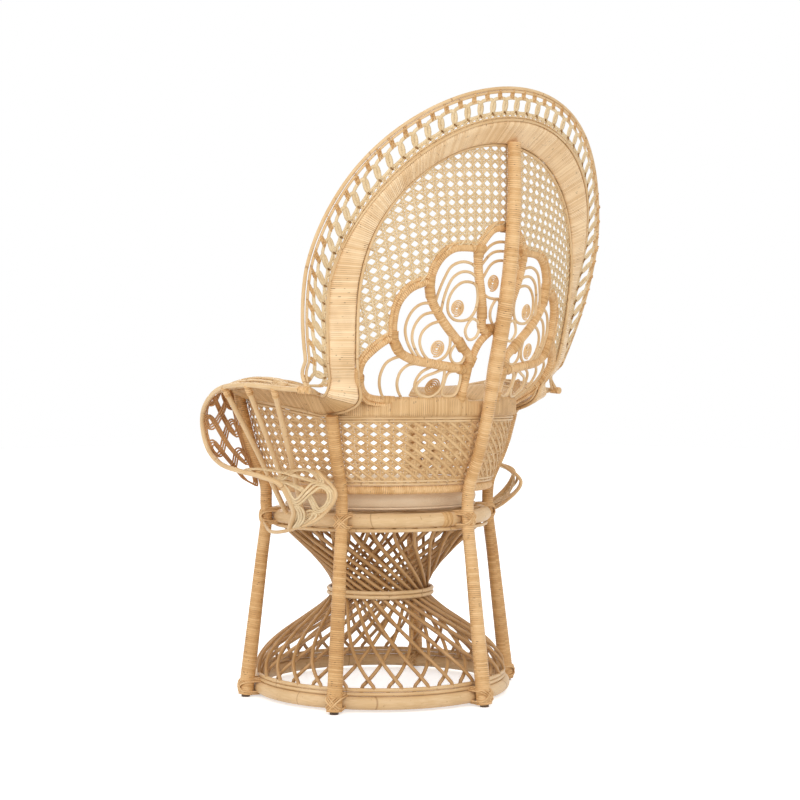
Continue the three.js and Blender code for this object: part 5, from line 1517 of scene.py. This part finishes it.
knotInnerPoints = [outerAt(spot) for spot in (4.2, 3, 2, 1, 0.4)]
for share in (0.8, 0.55, 0.35, 0.15):
    z = lerp(442, arms["bandFront"], share)
    out = postRadius(chair["frontLegAngle"], z, poles["atSeat"]) + poles["atSeat"]
    knotInnerPoints.append(polar(out, chair["frontLegAngle"], z))
knotInner = smoothPath(knotInnerPoints, 4)
knotInnerLengths = pathLengths(knotInner)


def apronAt(along, across):
    start = pathAt(knotInner, knotInnerLengths, clamp(along) * knotInnerLengths[-1])
    crest = math.sin(math.pi * clamp(2 * along) ** 0.6) * math.sin(math.pi * clamp(across))
    return start.lerp(armRimAt(lerp(0.02, 0.6, along)), across) + Vector((0, 0, arms["crown"] * crest))


def dishAt(along, across):
    return armRimAt(lerp(0.7, 0.99, along)).lerp(lowerRimAt(lerp(0.02, 0.6, along)), across)


def sheetNormal(sheetAt, along, across):
    a, b = clamp(along, 0.01, 0.99), clamp(across, 0.05, 0.95)
    ahead = sheetAt(a + 0.01, b) - sheetAt(a - 0.01, b)
    return ahead.cross(sheetAt(a, b + 0.05) - sheetAt(a, b - 0.05)).normalized()


# Figure-eight loops of parallel reeds, laid over a sheet between two rims
def knotwork(sheetAt, sizes):
    cells = sizes["cells"]
    paths = []
    for cell in range(cells):
        middle = (cell + 0.5) / cells
        length = (sheetAt(min(middle + 0.05, 1), 0.5) - sheetAt(max(middle - 0.05, 0), 0.5)).length / 0.1
        width = (sheetAt(middle, 1) - sheetAt(middle, 0)).length
        for reedNumber in range(sizes["reeds"]):
            shift = (reedNumber - (sizes["reeds"] - 1) / 2) * sizes["spacing"]
            spots, normals = [], []
            for k in range(40):
                turn = 2 * math.pi * k / 40
                halfLong, halfWide = sizes["wide"] * length / cells, sizes["tall"] * width
                flat = Vector((halfLong * math.sin(2 * turn), halfWide * math.cos(turn)))
                way = Vector((2 * halfLong * math.cos(2 * turn), -halfWide * math.sin(turn)))
                flat += Vector((-way.y, way.x)).normalized() * shift
                along, across = middle + flat.x / length, 0.5 + flat.y / width
                normal = sheetNormal(sheetAt, along, across)
                over = sizes["lift"] * math.sin(turn + cell * math.pi)
                normals.append(normal)
                spots.append(sheetAt(clamp(along), across) + normal * over)
            tint = chance(cell, reedNumber)
            paths.append({"points": spots, "outward": normals, "closed": True, "tint": tint})
    return paths


for side, tag in bothSides:
    def turned(points):
        return points if side > 0 else flipped(points)

    rim, lowerRim = turned(armRimPath), turned(lowerRimPath[:-2])
    settle(rods("armRim_" + tag, [rodAlong(rim, armRods["rim"])], thinReed, spacing=5, sides=12),
           "pole", "arm_rim_" + tag)
    settle(wrappedRods("armRimCuff_" + tag, [rodAlong(rim[:8], armRods["rimCuff"])], 12), "wrap")
    settle(rods("armLowerRim_" + tag, [rodAlong(lowerRim, armRods["lowerRim"])], thinReed,
                spacing=5, sides=10), "pole", "arm_lower_rim_" + tag)
    for ribName, (footAngle, rimShare) in ribs.items():
        foot = polar(armRods["ribFoot"][0], footAngle, armRods["ribFoot"][1])
        head = armRimAt(rimShare)
        middle = head.lerp(foot, 0.5) + Vector((0, 0, armRods["ribBow"]))
        rib = turned(smoothPath([head, middle, foot], 4))
        settle(rods("armRib_" + tag + "_" + ribName, [rodAlong(rib, armRods["rib"])], barePole,
                    spacing=5, sides=12), "pole", "arm_rib_" + tag + "_" + ribName)
        settle(wrappedRods("armRibCuff_" + tag + "_" + ribName, [rodAlong(rib[:7], armRods["ribCuff"])], 12),
               "wrap")
    knotPaths = [{**path, "points": turned(path["points"]), "radius": armKnots["radius"]}
                 for path in knotwork(apronAt, armKnots)]
    topCount = armKnots["onTop"] * armKnots["reeds"]
    settle(rods("armTopKnots_" + tag, knotPaths[:topCount], thinReed, spacing=5, sides=6), "cane")
    # The knots down the front apron take the darker reed, which is painted shade; the knots on top keep the
    # plain reed
    settle(rods("armKnots_" + tag, knotPaths[topCount:], paintedShadeKnotReed, spacing=5, sides=6),
           "cane", "arm_knots_" + tag)
    topReeds = []
    for share in armRods["topReedShares"]:
        points = [apronAt(i / armRods["topReedSteps"] * 0.5, share) + Vector((0, 0, armRods["topReedRise"]))
                  for i in range(armRods["topReedSteps"] + 1)]
        topReeds.append(rodAlong(turned(points), armRods["topReed"]))
    settle(rods("armTopReeds_" + tag, topReeds, thinReed), "pole")
    dishPaths = [{**path, "points": turned(path["points"]), "outward": turned(path["outward"])}
                 for path in knotwork(dishAt, dishKnots)]
    dish = strips("armDish_" + tag, dishPaths, fanWeave, dishKnots["stripWidth"], dishKnots["stripThickness"])
    settle(dish, "cane", "arm_dish_" + tag)
print("arms made")


# The cushion's section goes from the middle of its underside to the middle of its top: shares of its
# radius, of its edge's height and of its crown
cushionSizes = {"radius": 235, "bottom": 432, "edgeHeight": 50, "crown": 12, "fill": 0.75, "sides": 64,
                "voxel": 6, "pressure": 4, "frames": 20, "cap": 7, "pipings": (7, 45), "pipingRadius": 2.2,
                "pipingOut": 0.6,
                "profile": [(0.0, 0.0, 0.0), (0.45, 0.0, 0.0), (0.9, 0.0, 0.0), (0.965, 0.16, 0.0),
                            (0.99, 0.5, 0.0), (0.965, 0.84, 0.0), (0.9, 1.0, 0.0), (0.7, 1.0, 0.6),
                            (0.4, 1.0, 0.92), (0.0, 1.0, 1.0)]}


def cushionShell(name):
    sides = cushionSizes["sides"]
    spots, faces = [], []
    for out, edge, crown in cushionSizes["profile"]:
        z = cushionSizes["bottom"] + cushionSizes["edgeHeight"] * edge + cushionSizes["crown"] * crown
        if out == 0:
            spots.append(place(Vector((0, 0, z))))
        else:
            spots += [place(polar(cushionSizes["radius"] * out, -360 * j / sides, z)) for j in range(sides)]
    rows = len(cushionSizes["profile"]) - 2
    last = len(spots) - 1
    for j in range(sides):
        k = (j + 1) % sides
        faces.append((0, 1 + k, 1 + j))
        for i in range(rows - 1):
            a, b = 1 + i * sides, 1 + (i + 1) * sides
            faces.append((a + j, a + k, b + k, b + j))
        top = 1 + (rows - 1) * sides
        faces.append((last, top + j, top + k))
    mesh = bpy.data.meshes.new(name)
    mesh.from_pydata(spots, [], faces)
    return linked(name, mesh)


# Air pressure rounds the cushion as its filling does; the deck under it keeps its bottom flat
def plumped(piece):
    scene = bpy.context.scene
    even = piece.modifiers.new("even", "REMESH")
    even.mode = "VOXEL"
    even.voxel_size = cushionSizes["voxel"] * mm
    bpy.context.view_layer.update()
    shell = bpy.data.meshes.new_from_object(piece.evaluated_get(bpy.context.evaluated_depsgraph_get()))
    piece.modifiers.remove(even)
    piece.data = shell
    start = [vertex.co.copy() for vertex in shell.vertices]
    cloth = piece.modifiers.new("cloth", "CLOTH")
    cloth.settings.use_pressure = True
    cloth.settings.uniform_pressure_force = cushionSizes["pressure"]
    cloth.settings.effector_weights.gravity = 0
    cloth.point_cache.frame_start, cloth.point_cache.frame_end = 1, cushionSizes["frames"]
    for frameNumber in range(1, cushionSizes["frames"] + 1):
        scene.frame_set(frameNumber)
    blown = piece.evaluated_get(bpy.context.evaluated_depsgraph_get()).data
    ends = [vertex.co.copy() for vertex in blown.vertices]
    piece.modifiers.remove(cloth)
    scene.frame_set(1)
    for vertex, before, after in zip(shell.vertices, start, ends):
        moved = after - before
        if moved.length > cushionSizes["cap"] * mm:
            moved *= cushionSizes["cap"] * mm / moved.length
        vertex.co = before + moved
        vertex.co.z = max(vertex.co.z, cushionSizes["bottom"] * mm)


def cushionEdge(piece, height):  # how far the cushion's side reaches at a height
    reachSquared = [vertex.co.x ** 2 + (vertex.co.y - axisY) ** 2 for vertex in piece.data.vertices
                    if abs(vertex.co.z - height * mm) < cushionSizes["voxel"] * mm]
    return math.sqrt(max(reachSquared)) / mm


cushion = cushionShell("seatCushion")
plumped(cushion)
cushion.data.materials.clear()
cushion.data.materials.append(naturalCotton)
cushion.data.polygons.foreach_set("use_smooth", [True] * len(cushion.data.polygons))
pipings = []
for height in cushionSizes["pipings"]:
    edge = cushionEdge(cushion, cushionSizes["bottom"] + height)
    pipings.append(hoopAlong(edge + cushionSizes["pipingOut"], cushionSizes["bottom"] + height,
                             cushionSizes["pipingRadius"], 96))
settle(rods("cushionPiping", pipings, naturalCotton, spacing=12), "cushion")
refine = cushion.modifiers.new("round", "SUBSURF")
refine.levels = refine.render_levels = 1
settle(cushion, "cushion", "seat_cushion")
print("cushion made")
